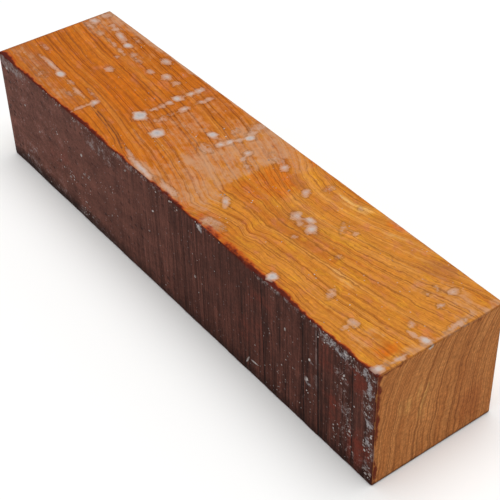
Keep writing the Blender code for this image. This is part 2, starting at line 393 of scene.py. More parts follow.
@dataclass(frozen=True)
class WaxedFace:
    """Planed heartwood under a thin coat of wax: orange, with dark growth lines."""

    growth: Growth = Growth()
    far: tuple = srgb(184, 99, 17)
    near: tuple = srgb(196, 124, 44)
    light: tuple = srgb(214, 150, 78)
    ember: tuple = srgb(170, 86, 16)
    gold: tuple = srgb(206, 140, 36)
    vivid: tuple = srgb(194, 98, 10)
    dusk: tuple = srgb(152, 90, 50)
    straw: tuple = srgb(218, 170, 104)
    far_line: tuple = srgb(116, 52, 12)
    near_line: tuple = srgb(112, 54, 14)
    rosy: tuple = srgb(192, 114, 76)
    milk: tuple = srgb(186, 140, 106)
    fringe: tuple = srgb(170, 62, 12)
    stain: tuple = srgb(74, 18, 12)
    # Painted shade in the drying checks
    crack: tuple = srgb(92, 50, 30)
    wax: tuple = srgb(188, 180, 176)
    core: tuple = srgb(158, 156, 158)
    thin_wax: tuple = srgb(190, 158, 140)
    # Painted shade for the rounded arrises and the far end's edge
    edge_shade: tuple = srgb(122, 72, 44)
    grit: tuple = srgb(142, 116, 102)

    def _timber(self, bench: Bench, figure: Figure, mottle: Wire) -> Wire:
        """Colour the bare timber.

        Args:
            bench: the material.
            figure: the timber's figure.
            mottle: fine noise.

        Returns:
            The colour.
        """
        place = bench.place()
        gold, vivid, dusk = bench.parts(bench.attribute("tint"))
        straw = bench.parts(bench.attribute("mark"))[1]
        patch = bench.cloud(place, (26.0, 42.0, 42.0), 3.0)
        near = (bench.parts(place)[0] + (patch - 0.5) * 0.12).rise(-0.06, 0.08)
        colour = bench.blend(near, self.far, self.near)
        colour = bench.blend(figure.tone.rise(0.5, 0.72) * 0.6 * (near * 0.6 + 0.4), colour, self.light)
        colour = bench.blend(figure.tone.fall(0.3, 0.5) * 0.55, colour, self.ember)
        ragged = (figure.streak - 0.5) * 1.1 + (patch - 0.5) * 0.9
        for share, tint in ((dusk, self.dusk), (gold, self.gold), (vivid, self.vivid), (straw, self.straw)):
            colour = bench.blend((share + share.rise(0.0, 0.3) * ragged).rise(0.15, 0.95), colour, tint)
        tinge = bench.cloud(place, (120.0, 210.0, 210.0), 3.0, 0.6)
        colour = bench.blend(tinge.rise(0.54, 0.7) * 0.45, colour, self.rosy)
        colour = bench.blend(tinge.fall(0.32, 0.46) * (near * 0.4 + 0.1), colour, self.gold)
        grain = figure.fibre * 0.9 + figure.streak * 0.35 + mottle * 0.55
        colour = bench.shade(colour, grain + 0.1)
        line_colour = bench.blend(near, self.far_line, self.near_line)
        colour = bench.blend(figure.fine * 0.34, colour, line_colour)
        colour = bench.blend(figure.line * (0.8 - near * 0.16), colour, line_colour)
        return bench.blend(figure.pores * 0.3, colour, line_colour)

    def material(self) -> bpy.types.Material:
        """Make the finish.

        Returns:
            The material.
        """
        bench = Bench("waxed_cocobolo")
        figure = self.growth.draw(bench)
        place = bench.place()
        wax, film, cut = bench.parts(bench.attribute("coat"))
        stain, _, rim = bench.parts(bench.attribute("mark"))
        mottle = bench.cloud(place, (330.0, 330.0, 330.0), 4.0, 0.65)
        rough = bench.cloud(place, (700.0, 700.0, 700.0), 3.0, 0.7)
        colour = self._timber(bench, figure, mottle)
        haze = bench.cloud(place, (60.0, 100.0, 100.0), 4.0, 0.62)
        smear = (haze - 0.5) * 1.8 + (mottle - 0.5) * 1.3 + (figure.streak - 0.5) * 1.3
        veil = (film * 1.1 + film.rise(0.0, 0.2) * smear).rise(0.1, 1.1)
        colour = bench.blend(veil * 0.8, colour, self.milk)
        specks, number = bench.cells(place, (420.0, 420.0, 420.0))
        dust = specks.fall(0.08, 0.2) * number.rise(0.86, 0.9)
        colour = bench.blend(dust * 0.6, colour, self.thin_wax)
        # Painted shade: the rounded arrises and a thin line at the far end's edge of the top are drawn
        # darker
        start = (bench.parts(place)[0] + (mottle - 0.5) * 2.0 * MM).fall(-151.8 * MM, -150.6 * MM)
        colour = bench.blend((rim * 0.75).most(start * 0.45), colour, self.edge_shade)
        blot = stain + stain.rise(0.0, 0.25) * ((mottle - 0.5) * 1.7 + (haze - 0.5) * 1.6)
        colour = bench.blend(blot.rise(0.1, 0.7) * 0.8, colour, self.fringe)
        colour = bench.blend(blot.rise(0.4, 1.15) * 0.95, colour, self.stain)
        # Painted shade: the drying checks, which are also cut into the top, are drawn dark brown
        split = cut + cut.rise(0.0, 0.2) * (mottle - 0.5) * 1.2
        colour = bench.blend(split.rise(0.1, 0.9) * 0.85, colour, self.crack)
        pat = (wax * 1.25 + (mottle - 0.5) * 1.3 + (rough - 0.5) * 1.4).rise(0.1, 0.56)
        # Painted shadow: a thin dark ring just outside the rim of each pat of wax
        pat_shadow = wax.rise(-0.35, 0.0) * (1.0 - pat) * mottle.rise(0.35, 0.6)
        colour = bench.shade(colour, 1.0 - pat_shadow * 0.3)
        clotted = bench.blend(wax.rise(0.45, 0.75), self.thin_wax, self.wax)
        clotted = bench.blend(wax.rise(0.7, 0.95) * mottle.rise(0.3, 0.6) * 0.9, clotted, self.core)
        clotted = bench.blend(rough.rise(0.45, 0.75) * wax.fall(0.3, 1.0) * 0.8, clotted, self.grit)
        colour = bench.blend(pat * (wax.rise(0.2, 0.95) * 0.5 + 0.45), colour, clotted)
        relief = figure.fibre * 0.3 - figure.line * 0.8 - figure.pores * 0.4 - figure.fine * 0.2
        relief = relief * (1.0 - pat) + rough * pat * 1.4 + mottle * veil * 0.6
        gloss = figure.fibre * 0.12 + 0.38 + pat * 0.1 + veil * 0.05
        return bench.finish(
            {
                "Base Color": colour,
                "Roughness": gloss,
                "Normal": bench.bump(relief, 0.18 * MM, 0.7),
                "Specular IOR Level": 0.08,
            }
        )


@dataclass(frozen=True)
class SawnFace:
    """Rough-sawn heartwood gone dark, with saw marks and a greyish bloom of wax."""

    far: tuple = srgb(108, 68, 58)
    near: tuple = srgb(80, 46, 38)
    rust: tuple = srgb(110, 46, 34)
    shadow: tuple = srgb(24, 13, 11)
    pit: tuple = srgb(44, 24, 20)
    bloom: tuple = srgb(142, 130, 128)
    wax: tuple = srgb(164, 160, 162)
    # Painted shade for the rounded arrises
    arris: tuple = srgb(70, 22, 14)
    lean: float = 0.022
    line_width: float = 0.6 * MM
    # Where the painted highlight beside the deepest saw mark lies, in metres along
    gleam_place: float = 116.7 * MM

    def _saw_lines(self, along: Wire, height: Wire) -> Wire:
        """Shade the saw's deeper strokes.

        Args:
            along: the place along the billet, in metres.
            height: the height over the ground, in metres.

        Returns:
            How dark the strokes leave each point, from 0 up.
        """
        leaning = along + height * self.lean
        dark = 0.0
        for mark in SAW_MARKS:
            middle = (mark.along - HALF_LENGTH + self.lean * MID_HEIGHT) * MM
            half_width = self.line_width * (0.6 + 0.7 * mark.strength)
            share = (1.0 - (leaning - middle).absolute() / half_width).most(0.0) * mark.strength
            if mark.start > 0.0:
                share = share * height.fall((62.0 - mark.start) * MM, (68.0 - mark.start) * MM)
            if mark.end < 65.0:
                share = share * height.rise((62.0 - mark.end) * MM, (68.0 - mark.end) * MM)
            dark = share.most(dark)
        return dark

    def material(self) -> bpy.types.Material:
        """Make the finish.

        Returns:
            The material.
        """
        bench = Bench("sawn_cocobolo")
        place = bench.place()
        along, _, height = bench.parts(place)
        wax, film, _ = bench.parts(bench.attribute("coat"))
        stain, _, rim = bench.parts(bench.attribute("mark"))
        patch = bench.cloud(place, (30.0, 30.0, 60.0), 3.0)
        near = (along + (patch - 0.5) * 0.1).rise(-0.11, 0.06)
        colour = bench.blend(near, self.far, self.near)
        cloudy = bench.cloud(place, (80.0, 80.0, 150.0), 4.0, 0.62)
        colour = bench.shade(colour, 1.0 + (cloudy - 0.5) * (1.7 - near * 0.9))
        strokes = bench.cloud(place, (420.0, 20.0, 12.0), 3.0, 0.7)
        hairs = bench.cloud(place, (1500.0, 60.0, 40.0), 2.0, 0.6)
        stroke_share = along.rise(-0.06, 0.01) * 0.8 + 0.2
        colour = bench.shade(colour, 1.0 + ((strokes - 0.5) * 2.6 + (hairs - 0.5) * 2.2) * stroke_share)
        ragged = (cloudy - 0.5) * 2.4 + (strokes - 0.5) * 1.6
        rusty = stain + stain.rise(0.0, 0.3) * ragged + (patch - 0.5) * 0.5
        colour = bench.blend(rusty.rise(0.05, 1.15) * 0.85, colour, self.rust)
        holes, number = bench.cells(place, (230.0, 230.0, 330.0))
        pits = holes.fall(0.15, 0.42) * number.rise(0.62, 0.7) * along.fall(-0.02, 0.06)
        colour = bench.blend(pits * (patch * 1.6 - 0.3).least(0.8), colour, self.pit)
        mottle = bench.cloud(place, (420.0, 420.0, 420.0), 4.0, 0.7)
        fine = bench.cloud(place, (1300.0, 1300.0, 900.0), 3.0, 0.7)
        colour = bench.shade(colour, fine * 1.5 + mottle * 0.8 - 0.15)
        smear = (mottle - 0.5) * 2.6 + (fine - 0.5) * 1.6 + (cloudy - 0.5) * 2.0
        veil = (film + film.rise(0.0, 0.3) * smear).rise(0.25, 1.05)
        speckle = (mottle * 0.6 + fine * 0.4).rise(0.42, 0.58)
        colour = bench.blend(veil * (speckle * 0.65 + 0.2), colour, self.bloom)
        specks, number = bench.cells(place, (560.0, 560.0, 560.0))
        thick = patch.rise(0.42, 0.62) * 0.1
        dust = specks.fall(0.1, 0.28) * (number + thick).rise(0.84, 0.88)
        colour = bench.blend(dust * 0.5, colour, self.bloom)
        saw = self._saw_lines(along, height)
        groove = (saw + saw.rise(0.0, 0.2) * (mottle - 0.5) * 1.2).rise(0.0, 0.8)
        colour = bench.blend(groove * 0.9, colour, self.shadow)
        # Painted highlight: a pale line beside the deepest saw mark, in the bloom's colour
        gleam = (1.0 - (along + height * self.lean - self.gleam_place).absolute() / (0.8 * MM)).most(0.0)
        gleam = gleam * cloudy.rise(0.4, 0.6) * height.rise(20.0 * MM, 40.0 * MM)
        colour = bench.blend(gleam * 0.5, colour, self.bloom)
        pat = (wax * 1.2 + (mottle - 0.5) * 2.6 + (fine - 0.5) * 1.6).rise(0.1, 0.7)
        colour = bench.blend(pat * wax.rise(-0.4, 0.1) * (speckle * 0.7 + 0.12), colour, self.wax)
        # Darker towards the bottom, and more so low on the far half
        darkening = (height + (mottle - 0.5) * 10.0 * MM).fall(0.0, 10.0 * MM)
        far_low_darkening = (height + (cloudy - 0.5) * 24.0 * MM).fall(2.0 * MM, 16.0 * MM) * along.fall(-0.09, -0.01)
        colour = bench.shade(colour, 1.0 - darkening * 0.5 - far_low_darkening * 0.32)
        # Painted shade: the rounded arrises, and the top strip of the side where no wax lies, are drawn dark
        # maroon
        depth = bench.parts(bench.attribute("figure"))[2]
        brow_shade = (depth + (mottle - 0.5) * 2.4 * MM).fall(0.2 * MM, 1.6 * MM)
        colour = bench.blend((rim * 0.8).most(brow_shade * 0.6 * veil.fall(0.2, 0.7)), colour, self.arris)
        relief = strokes * stroke_share * 0.8 + cloudy * 0.6 + fine * 0.4 - groove + pat * 0.6 - pits
        gloss = 0.55 + mottle * 0.2 + pat * 0.05
        return bench.finish(
            {
                "Base Color": colour,
                "Roughness": gloss,
                "Normal": bench.bump(relief, 0.25 * MM, 0.7),
                "Specular IOR Level": 0.04,
            }
        )


@dataclass(frozen=True)
class EndGrain:
    """Clean-cut end grain: matt tan brown, with curved growth lines and small pores."""

    growth: Growth = Growth(spacing=2.4 * MM, line_width=0.42 * MM, calm=0.35, quiver=1.3 * MM)
    light: tuple = srgb(188, 123, 68)
    dark: tuple = srgb(176, 110, 58)
    line: tuple = srgb(108, 58, 28)
    gold: tuple = srgb(202, 144, 80)
    ember: tuple = srgb(156, 84, 42)
    rust: tuple = srgb(92, 24, 14)
    # Painted shade for the rounded arrises and the bottom and +Y edges
    edge_shade: tuple = srgb(70, 38, 20)
    wax: tuple = srgb(182, 172, 160)

    def material(self) -> bpy.types.Material:
        """Make the finish.

        Returns:
            The material.
        """
        bench = Bench("end_grain")
        figure = self.growth.draw(bench)
        place = bench.place()
        wax, film, _ = bench.parts(bench.attribute("coat"))
        gold, vivid, _ = bench.parts(bench.attribute("tint"))
        stain, _, edge_shade = bench.parts(bench.attribute("mark"))
        colour = bench.blend(figure.tone.rise(0.35, 0.65), self.light, self.dark)
        rays = bench.cloud(place, (60.0, 90.0, 1400.0), 2.0, 0.6)
        colour = bench.shade(colour, rays * 0.3 + 0.85)
        streak = bench.cloud(figure.grain, (1.0, 700.0, 60.0), 2.0).rise(0.4, 0.65)
        colour = bench.blend(gold * streak, colour, self.gold)
        colour = bench.blend(vivid * 0.7, colour, self.ember)
        colour = bench.shade(colour, figure.fibre * 0.5 + figure.streak * 0.9 + 0.33)
        colour = bench.blend(figure.fine * 0.48, colour, self.line)
        colour = bench.blend(figure.line * 0.72, colour, self.line)
        grain = bench.cloud(place, (1300.0, 1300.0, 1300.0), 3.0, 0.7)
        colour = bench.shade(colour, grain * 0.8 + 0.6)
        holes, number = bench.cells(place, (900.0, 900.0, 900.0))
        pores = holes.fall(0.15, 0.35) * number.rise(0.6, 0.7)
        colour = bench.blend(pores * 0.45, colour, self.line)
        mottle = bench.cloud(place, (300.0, 300.0, 300.0), 4.0, 0.65)
        rim = (stain + stain.rise(0.0, 0.2) * (mottle - 0.5) * 2.2).rise(0.2, 0.95)
        colour = bench.blend(rim * 0.9, colour, self.rust)
        veil = (film * (mottle * 0.8 + 0.5)).least(1.0)
        colour = bench.blend(veil, colour, self.wax)
        pat = (wax + (mottle - 0.5) * 0.7).rise(0.02, 0.34)
        colour = bench.blend(pat * 0.9, colour, self.wax)
        # Painted shade: the rounded arrises, a strip along the bottom and a line along the +Y edge are drawn
        # dark
        _, across, height = bench.parts(place)
        low = (height + (mottle - 0.5) * 2.0 * MM).fall(0.6 * MM, 2.0 * MM)
        far_edge_shade = across.rise(33.0 * MM, 34.0 * MM) * 0.7
        colour = bench.blend(edge_shade.most(low).most(far_edge_shade) * 0.75, colour, self.edge_shade)
        relief = (grain * 0.5 - pores - figure.line * 0.3) * (1.0 - veil) + mottle * veil
        return bench.finish(
            {
                "Base Color": colour,
                "Roughness": 0.7 - veil * 0.2 - pat * 0.15,
                "Normal": bench.bump(relief, 0.1 * MM, 0.5),
                "Specular IOR Level": 0.06,
            }
        )


@dataclass(frozen=True)
class DriedWax:
    """Crumbs of dried wax: milky grey-white, a little dirty."""

    clean: tuple = srgb(196, 188, 184)
    dirty: tuple = srgb(128, 112, 106)

    def material(self) -> bpy.types.Material:
        """Make the finish.

        Returns:
            The material.
        """
        bench = Bench("dried_wax")
        place = bench.place()
        darkening = bench.cloud(place, (240.0, 240.0, 240.0), 3.0)
        grain = bench.cloud(place, (2600.0, 2600.0, 2600.0), 2.0)
        colour = bench.blend(darkening.rise(0.3, 0.6), self.clean, self.dirty)
        colour = bench.shade(colour, grain * 0.3 + 0.85)
        return bench.finish(
            {
                "Base Color": colour,
                "Roughness": 0.42 + grain * 0.2,
                "Normal": bench.bump(grain, 0.1 * MM, 0.5),
                "Specular IOR Level": 0.4,
            }
        )


@dataclass(frozen=True)
class PaleFloor:
    """Plain matt white board."""

    colour: tuple = srgb(244, 244, 243)

    def material(self) -> bpy.types.Material:
        """Make the finish.

        Returns:
            The material.
        """
        bench = Bench("pale_floor")
        grain = bench.cloud(bench.place(), (9.0, 9.0, 9.0), 2.0)
        colour = bench.blend(grain * 0.1, self.colour, srgb(238, 238, 237))
        return bench.finish({"Base Color": colour, "Roughness": 0.9, "Specular IOR Level": 0.1})


class GuideLine(NamedTuple):
    """One growth line as it crosses the top: its ring number, and its (along, across) points."""

    ring: float
    points: tuple


class WaxPat(NamedTuple):
    """A low pat of dried wax on a face, in millimetres and degrees, and how dense it is."""

    along: float
    across: float
    length: float
    breadth: float
    turn: float = 0.0
    density: float = 0.6


class Zone(NamedTuple):
    """A soft-edged rectangle on a face: from and to along, from and to across, and how strong.

    The last numbers are how far its start, its end and its two long edges fade out.
    """

    start: float
    end: float
    low: float
    high: float
    strength: float
    start_fade: float = 4.0
    end_fade: float = 4.0
    edge_fade: float = 3.0


class SawMark(NamedTuple):
    """A deeper stroke of the saw, in millimetres: its place along, its depth, its darkness and reach."""

    along: float
    depth: float
    strength: float
    start: float = -9.0
    end: float = 80.0


class Check(NamedTuple):
    """A fine crack in the top, in millimetres: its (along, across) points, half width and depth."""

    points: tuple
    half_width: float
    depth: float
    strength: float


GUIDE_LINES = (
    GuideLine(
        0.0,
        ((0, -20), (102, -11), (132, -8), (152, -3.5), (162, -0.5), (174, 4.5), (180, 8.2), (187, 12))
        + ((202, 14.5), (217, 14), (232, 11), (251, 5), (276, -2), (305, -11)),
    ),
    GuideLine(
        16.0,
        ((0, -3), (52, 1), (102, 5.5), (132, 9.5), (152, 14.5), (167, 18.5), (174, 20.5), (182, 23.5))
        + ((190, 25.5), (202, 27), (217, 26.8), (227, 26), (233, 24.2), (241, 23), (251, 20.5))
        + ((259, 18.6), (266, 16), (276, 13.5), (284, 11), (290, 8.3), (305, 5.5)),
    ),
    GuideLine(
        30.0,
        ((0, 10.5), (21, 13), (41, 15), (62, 17), (82, 18.8), (102, 21), (117, 23.3), (132, 26.5))
        + ((147, 30.5), (162, 35), (172, 37.3), (184, 38), (194, 38.5), (202, 39.5), (208, 39.7))
        + ((217, 38.5), (231, 37.5), (246, 36), (266, 32.5), (286, 28.5), (305, 24)),
    ),
    GuideLine(
        47.0,
        ((0, 30), (15, 33), (22, 33.5), (36, 36), (51, 37), (71, 38), (81, 39), (93, 40), (107, 42))
        + ((119, 44.5), (132, 46.5), (144, 49.5), (157, 53), (167, 56.5), (174, 58.5), (182, 56))
        + ((192, 53.5), (199, 53), (204, 56), (208, 54.5), (211, 52.5), (226, 51.5), (241, 50.5))
        + ((261, 49.8), (281, 47.5), (305, 44)),
    ),
    GuideLine(
        57.0,
        ((0, 41), (20, 43.5), (46, 45.5), (61, 46), (81, 48), (94, 50), (111, 53), (127, 55.5))
        + ((142, 59), (157, 63.5), (166, 67.5), (173, 70.5), (180, 67), (188, 64), (196, 62.5))
        + ((208, 62.5), (216, 61), (223, 60.7), (225, 61.7), (228, 59.5), (241, 58.5), (258, 58.3))
        + ((281, 56), (305, 53)),
    ),
    GuideLine(
        67.0,
        ((0, 49), (20, 52), (45, 54.5), (76, 57), (91, 58.8), (101, 60.3), (113, 63), (121, 65))
        + ((141, 70), (156, 75), (173, 82), (186, 76), (208, 69.5), (226, 67), (241, 65.5))
        + ((246, 64.5), (251, 66), (263, 66.5), (267, 65), (280, 64.5), (305, 62.5)),
    ),
    GuideLine(
        80.0,
        ((0, 62), (45, 68), (101, 74), (141, 84), (173, 96), (191, 88), (226, 79), (280, 76), (305, 75)),
    ),
)

TOP_WAX = (
    # Smears along the grain near the far end
    WaxPat(4.0, 5.0, 6.0, 7.0, 0.0, 0.55),
    WaxPat(4.6, 13.0, 8.5, 6.5, 0.0, 0.75),
    WaxPat(8.0, 17.6, 9.0, 3.0, 0.0, 0.45),
    WaxPat(15.5, 7.6, 6.0, 4.0, -12.0, 0.55),
    WaxPat(20.0, 8.8, 7.0, 4.4, -12.0, 0.6),
    WaxPat(28.0, 10.4, 15.0, 5.4, -13.0, 0.7),
    WaxPat(38.4, 12.4, 8.0, 5.2, 0.0, 0.85),
    WaxPat(18.5, 16.4, 6.0, 4.4, -20.0, 0.45),
    WaxPat(31.0, 17.4, 14.0, 3.0, -2.0, 0.45),
    WaxPat(41.0, 18.3, 11.0, 3.4, -4.0, 0.5),
    WaxPat(37.5, 5.5, 9.0, 4.0, 0.0, 0.3),
    WaxPat(44.5, 23.2, 4.2, 3.6, 0.0, 0.55),
    WaxPat(48.5, 15.2, 8.0, 4.0, -12.0, 0.5),
    WaxPat(55.5, 16.4, 6.0, 4.0, -10.0, 0.4),
    WaxPat(64.8, 5.4, 9.0, 6.0, 0.0, 0.7),
    WaxPat(68.0, 17.3, 6.0, 4.4, 0.0, 0.6),
    WaxPat(77.5, 13.4, 8.0, 6.4, 0.0, 0.7),
    WaxPat(85.6, 13.2, 6.0, 5.6, 0.0, 0.5),
    WaxPat(52.4, 32.5, 7.0, 6.4, 0.0, 0.6),
    WaxPat(11.5, 47.4, 9.0, 3.6, 0.0, 0.3),
    WaxPat(20.0, 53.6, 8.0, 3.4, 0.0, 0.45),
    WaxPat(29.5, 53.6, 20.0, 3.6, -2.0, 0.65),
    WaxPat(40.3, 54.6, 7.6, 5.0, 0.0, 0.9),
    WaxPat(51.0, 54.4, 8.0, 3.0, 0.0, 0.4),
    WaxPat(61.0, 56.2, 13.0, 3.0, -3.0, 0.5),
    WaxPat(67.0, 51.4, 13.0, 3.0, -6.0, 0.3),
    WaxPat(74.6, 54.6, 6.0, 6.6, 0.0, 0.75),
    WaxPat(73.9, 61.5, 2.8, 14.0, 0.0, 0.6),
    WaxPat(34.0, 62.0, 9.0, 5.5, 0.0, 0.22),
    WaxPat(59.5, 60.0, 6.0, 3.6, 0.0, 0.25),
    # Drips that ran across the top
    WaxPat(98.6, 7.4, 5.6, 7.0, 0.0, 0.7),
    WaxPat(98.2, 12.6, 4.6, 6.6, 0.0, 0.75),
    WaxPat(98.2, 16.8, 3.0, 3.6, 0.0, 0.4),
    WaxPat(97.6, 20.6, 6.6, 6.6, 0.0, 0.85),
    WaxPat(98.0, 25.4, 5.0, 5.6, 0.0, 0.7),
    WaxPat(98.2, 30.0, 4.2, 5.4, 0.0, 0.6),
    WaxPat(98.3, 35.0, 3.6, 6.2, 0.0, 0.65),
    WaxPat(98.6, 43.2, 11.0, 6.0, 0.0, 1.0),
    WaxPat(99.0, 43.4, 7.0, 9.8, 0.0, 1.1),
    WaxPat(107.8, 8.4, 5.0, 7.0, 0.0, 0.6),
    WaxPat(107.6, 12.6, 4.4, 5.6, 0.0, 0.65),
    WaxPat(107.4, 17.0, 2.4, 4.0, 0.0, 0.25),
    WaxPat(107.4, 23.0, 4.8, 9.0, 0.0, 0.7),
    WaxPat(107.2, 30.0, 3.4, 8.0, 0.0, 0.35),
    WaxPat(108.0, 36.0, 5.0, 7.0, 0.0, 0.45),
    WaxPat(107.0, 39.6, 3.0, 4.0, 0.0, 0.4),
    WaxPat(116.5, 45.0, 8.0, 9.0, 0.0, 1.0),
    WaxPat(134.4, 25.0, 7.2, 6.4, 10.0, 0.9),
    WaxPat(143.0, 4.0, 9.0, 10.0, 0.0, 0.4),
    WaxPat(145.0, 8.6, 5.0, 7.0, 0.0, 0.55),
    WaxPat(147.8, 12.6, 4.6, 6.6, -25.0, 1.0),
    WaxPat(145.8, 17.4, 4.0, 6.0, -15.0, 0.65),
    WaxPat(138.6, 15.0, 4.4, 6.6, 0.0, 0.4),
    WaxPat(144.4, 22.0, 4.6, 6.0, 0.0, 0.8),
    WaxPat(143.4, 26.6, 4.4, 5.4, 0.0, 0.8),
    WaxPat(141.0, 33.8, 10.0, 6.0, 0.0, 0.45),
    WaxPat(157.2, 20.6, 4.2, 6.6, 20.0, 0.75),
    WaxPat(159.2, 25.0, 3.8, 6.0, 28.0, 0.65),
    WaxPat(165.0, 27.0, 4.4, 3.8, 0.0, 0.5),
    WaxPat(167.0, 12.4, 9.0, 4.4, -8.0, 0.35),
    WaxPat(172.6, 12.0, 4.6, 6.0, 0.0, 0.5),
    WaxPat(176.8, 14.0, 6.0, 6.6, 30.0, 0.7),
    # Blots on the near half
    WaxPat(198.0, 18.0, 4.6, 7.6, 28.0, 0.7),
    WaxPat(202.0, 7.6, 4.4, 8.0, 0.0, 0.35),
    WaxPat(222.0, 6.4, 3.6, 3.2, 0.0, 0.4),
    WaxPat(208.8, 31.6, 7.4, 7.4, 0.0, 0.7),
    WaxPat(214.4, 29.0, 7.8, 5.0, 0.0, 0.75),
    WaxPat(214.0, 34.0, 6.0, 4.2, 0.0, 0.4),
    WaxPat(219.8, 32.4, 7.4, 7.0, 0.0, 0.8),
    WaxPat(219.2, 41.6, 4.4, 4.4, 0.0, 0.5),
    WaxPat(180.8, 50.6, 8.6, 4.6, -38.0, 0.75),
    WaxPat(227.8, 21.0, 4.0, 9.5, 38.0, 0.4),
    WaxPat(234.0, 18.8, 4.2, 4.0, 0.0, 0.45),
    WaxPat(241.6, 35.0, 4.4, 4.0, 30.0, 0.35),
    WaxPat(257.2, 52.2, 4.8, 8.4, 25.0, 0.55),
    WaxPat(276.4, 56.4, 6.8, 5.0, 0.0, 0.6),
    WaxPat(276.2, 61.2, 3.4, 6.6, 0.0, 0.55),
    WaxPat(281.2, 15.8, 4.6, 4.0, 0.0, 0.5),
    WaxPat(287.3, 12.0, 4.8, 5.8, 0.0, 0.65),
    WaxPat(290.6, 22.0, 3.8, 4.6, 0.0, 0.65),
    WaxPat(281.6, 21.2, 3.2, 3.2, 0.0, 0.3),
    WaxPat(291.2, 38.8, 4.8, 4.6, 0.0, 0.6),
    WaxPat(296.6, 42.0, 8.0, 3.0, 12.0, 0.55),
    WaxPat(301.8, 40.4, 7.0, 5.0, 14.0, 0.85),
    WaxPat(302.6, 24.0, 4.0, 12.0, 0.0, 0.5),
    WaxPat(302.6, 56.0, 3.6, 9.0, 0.0, 0.65),
    # Wax gathered along the arris of the sawn side
    WaxPat(122.5, 64.2, 11.0, 2.8, -9.0, 0.5),
    WaxPat(136.5, 66.6, 26.0, 3.6, -5.0, 0.75),
    WaxPat(156.0, 65.4, 20.0, 4.8, 0.0, 0.5),
    WaxPat(187.0, 64.4, 9.0, 6.0, 20.0, 0.35),
    WaxPat(193.5, 62.6, 8.0, 5.0, 0.0, 0.25),
    WaxPat(234.0, 65.0, 5.8, 6.0, 0.0, 1.0),
    WaxPat(302.0, 66.0, 6.0, 7.0, 0.0, 0.8),
)

SIDE_WAX = (
    WaxPat(186.4, 2.2, 4.4, 5.0, 35.0, 0.8),
    WaxPat(263.0, 37.0, 7.0, 4.0, -42.0, 0.55),
    WaxPat(264.3, 23.0, 3.0, 3.4, 40.0, 0.7),
    WaxPat(17.0, 57.5, 13.0, 3.4, 42.0, 0.3),
    WaxPat(26.5, 49.0, 13.0, 3.0, 38.0, 0.25),
    WaxPat(276.5, 3.0, 14.0, 4.6, 0.0, 0.4),
    WaxPat(283.5, 4.0, 9.0, 5.4, 0.0, 0.55),
    WaxPat(298.0, 3.6, 8.0, 5.6, 0.0, 0.6),
    WaxPat(301.8, 11.0, 4.6, 11.0, 0.0, 0.8),
    WaxPat(302.6, 20.0, 3.4, 8.0, 0.0, 0.6),
    WaxPat(302.0, 28.5, 4.6, 10.0, 0.0, 0.9),
    WaxPat(301.8, 42.0, 4.0, 12.0, 0.0, 0.7),
    WaxPat(302.2, 55.0, 4.0, 12.0, 0.0, 0.45),
)

END_WAX = (WaxPat(28.0, 0.4, 3.4, 4.6, 0.0, 0.5),)

TOP_FILM = (
    # The milky patch over the middle
    Zone(138, 171.5, -9, 48, 0.62, 18.0, 1.6, 2.0),
    Zone(136, 180, 46, 80, 0.40, 16.0, 12.0, 5.0),
    Zone(160, 184, -9, 13, 0.36, 10.0, 14.0, 5.0),
    # Thin smears
    Zone(104, 140, -2, 58, 0.24, 12.0, 10.0, 12.0),
    Zone(-9, 62, -9, 3.5, 0.80, 2.0, 14.0, 3.0),
    Zone(-9, 24, -9, 20, 0.40, 1.0, 16.0, 6.0),
    Zone(10, 58, 6, 19, 0.28, 8.0, 14.0, 5.0),
    Zone(2, 72, 56, 80, 0.22, 2.0, 26.0, 5.0),
    Zone(62, 106, -9, 1.6, 0.80, 3.0, 3.0, 1.6),
    Zone(94, 112, 3, 40, 0.22, 8.0, 8.0, 8.0),
    Zone(110, 136, -9, 1.4, 0.80, 3.0, 3.0, 1.4),
    Zone(120, 170, 63, 80, 0.55, 8.0, 6.0, 3.0),
    Zone(182, 197, 61, 80, 0.50, 5.0, 5.0, 3.0),
    Zone(232, 268, -9, 2.0, 0.40, 6.0, 8.0, 3.0),
    Zone(272, 306, 8, 26, 0.20, 8.0, 2.0, 6.0),
    Zone(280, 291, 50, 68, 0.20, 8.0, 4.0, 6.0),
    # Along the clean-cut end
    Zone(301.2, 304.0, -9, 80, 0.64, 1.4, 0.5, 2.0),
)

SIDE_FILM = (
    Zone(-3, 28, 1, 6, 0.85, 2.0, 12.0, 2.4),
    Zone(86, 114, 4, 12, 0.50, 8.0, 6.0, 5.0),
    Zone(6, 70, 2, 60, 0.16, 6.0, 20.0, 6.0),
    Zone(12, 32, 46, 60, 0.28, 10.0, 10.0, 14.0),
    Zone(6, 34, 57, 64, 0.50, 6.0, 10.0, 6.0),
    Zone(30, 110, 57, 70, 0.30, 10.0, 12.0, 4.0),
    Zone(76, 150, 0, 3, 0.45, 6.0, 6.0, 2.0),
    Zone(228, 268, -3, 3, 0.50, 8.0, 5.0, 2.0),
    Zone(268, 310, -3, 5, 0.50, 5.0, 1.0, 3.0),
    Zone(299.8, 303.4, -3, 70, 0.50, 2.5, 1.0, 2.0),
    Zone(281, 291, 6, 60, 0.30, 4.0, 4.0, 6.0),
    Zone(266, 269, 8, 40, 0.35, 1.5, 1.0, 6.0),
    Zone(284, 304, 54, 66, 0.22, 6.0, 2.0, 4.0),
)

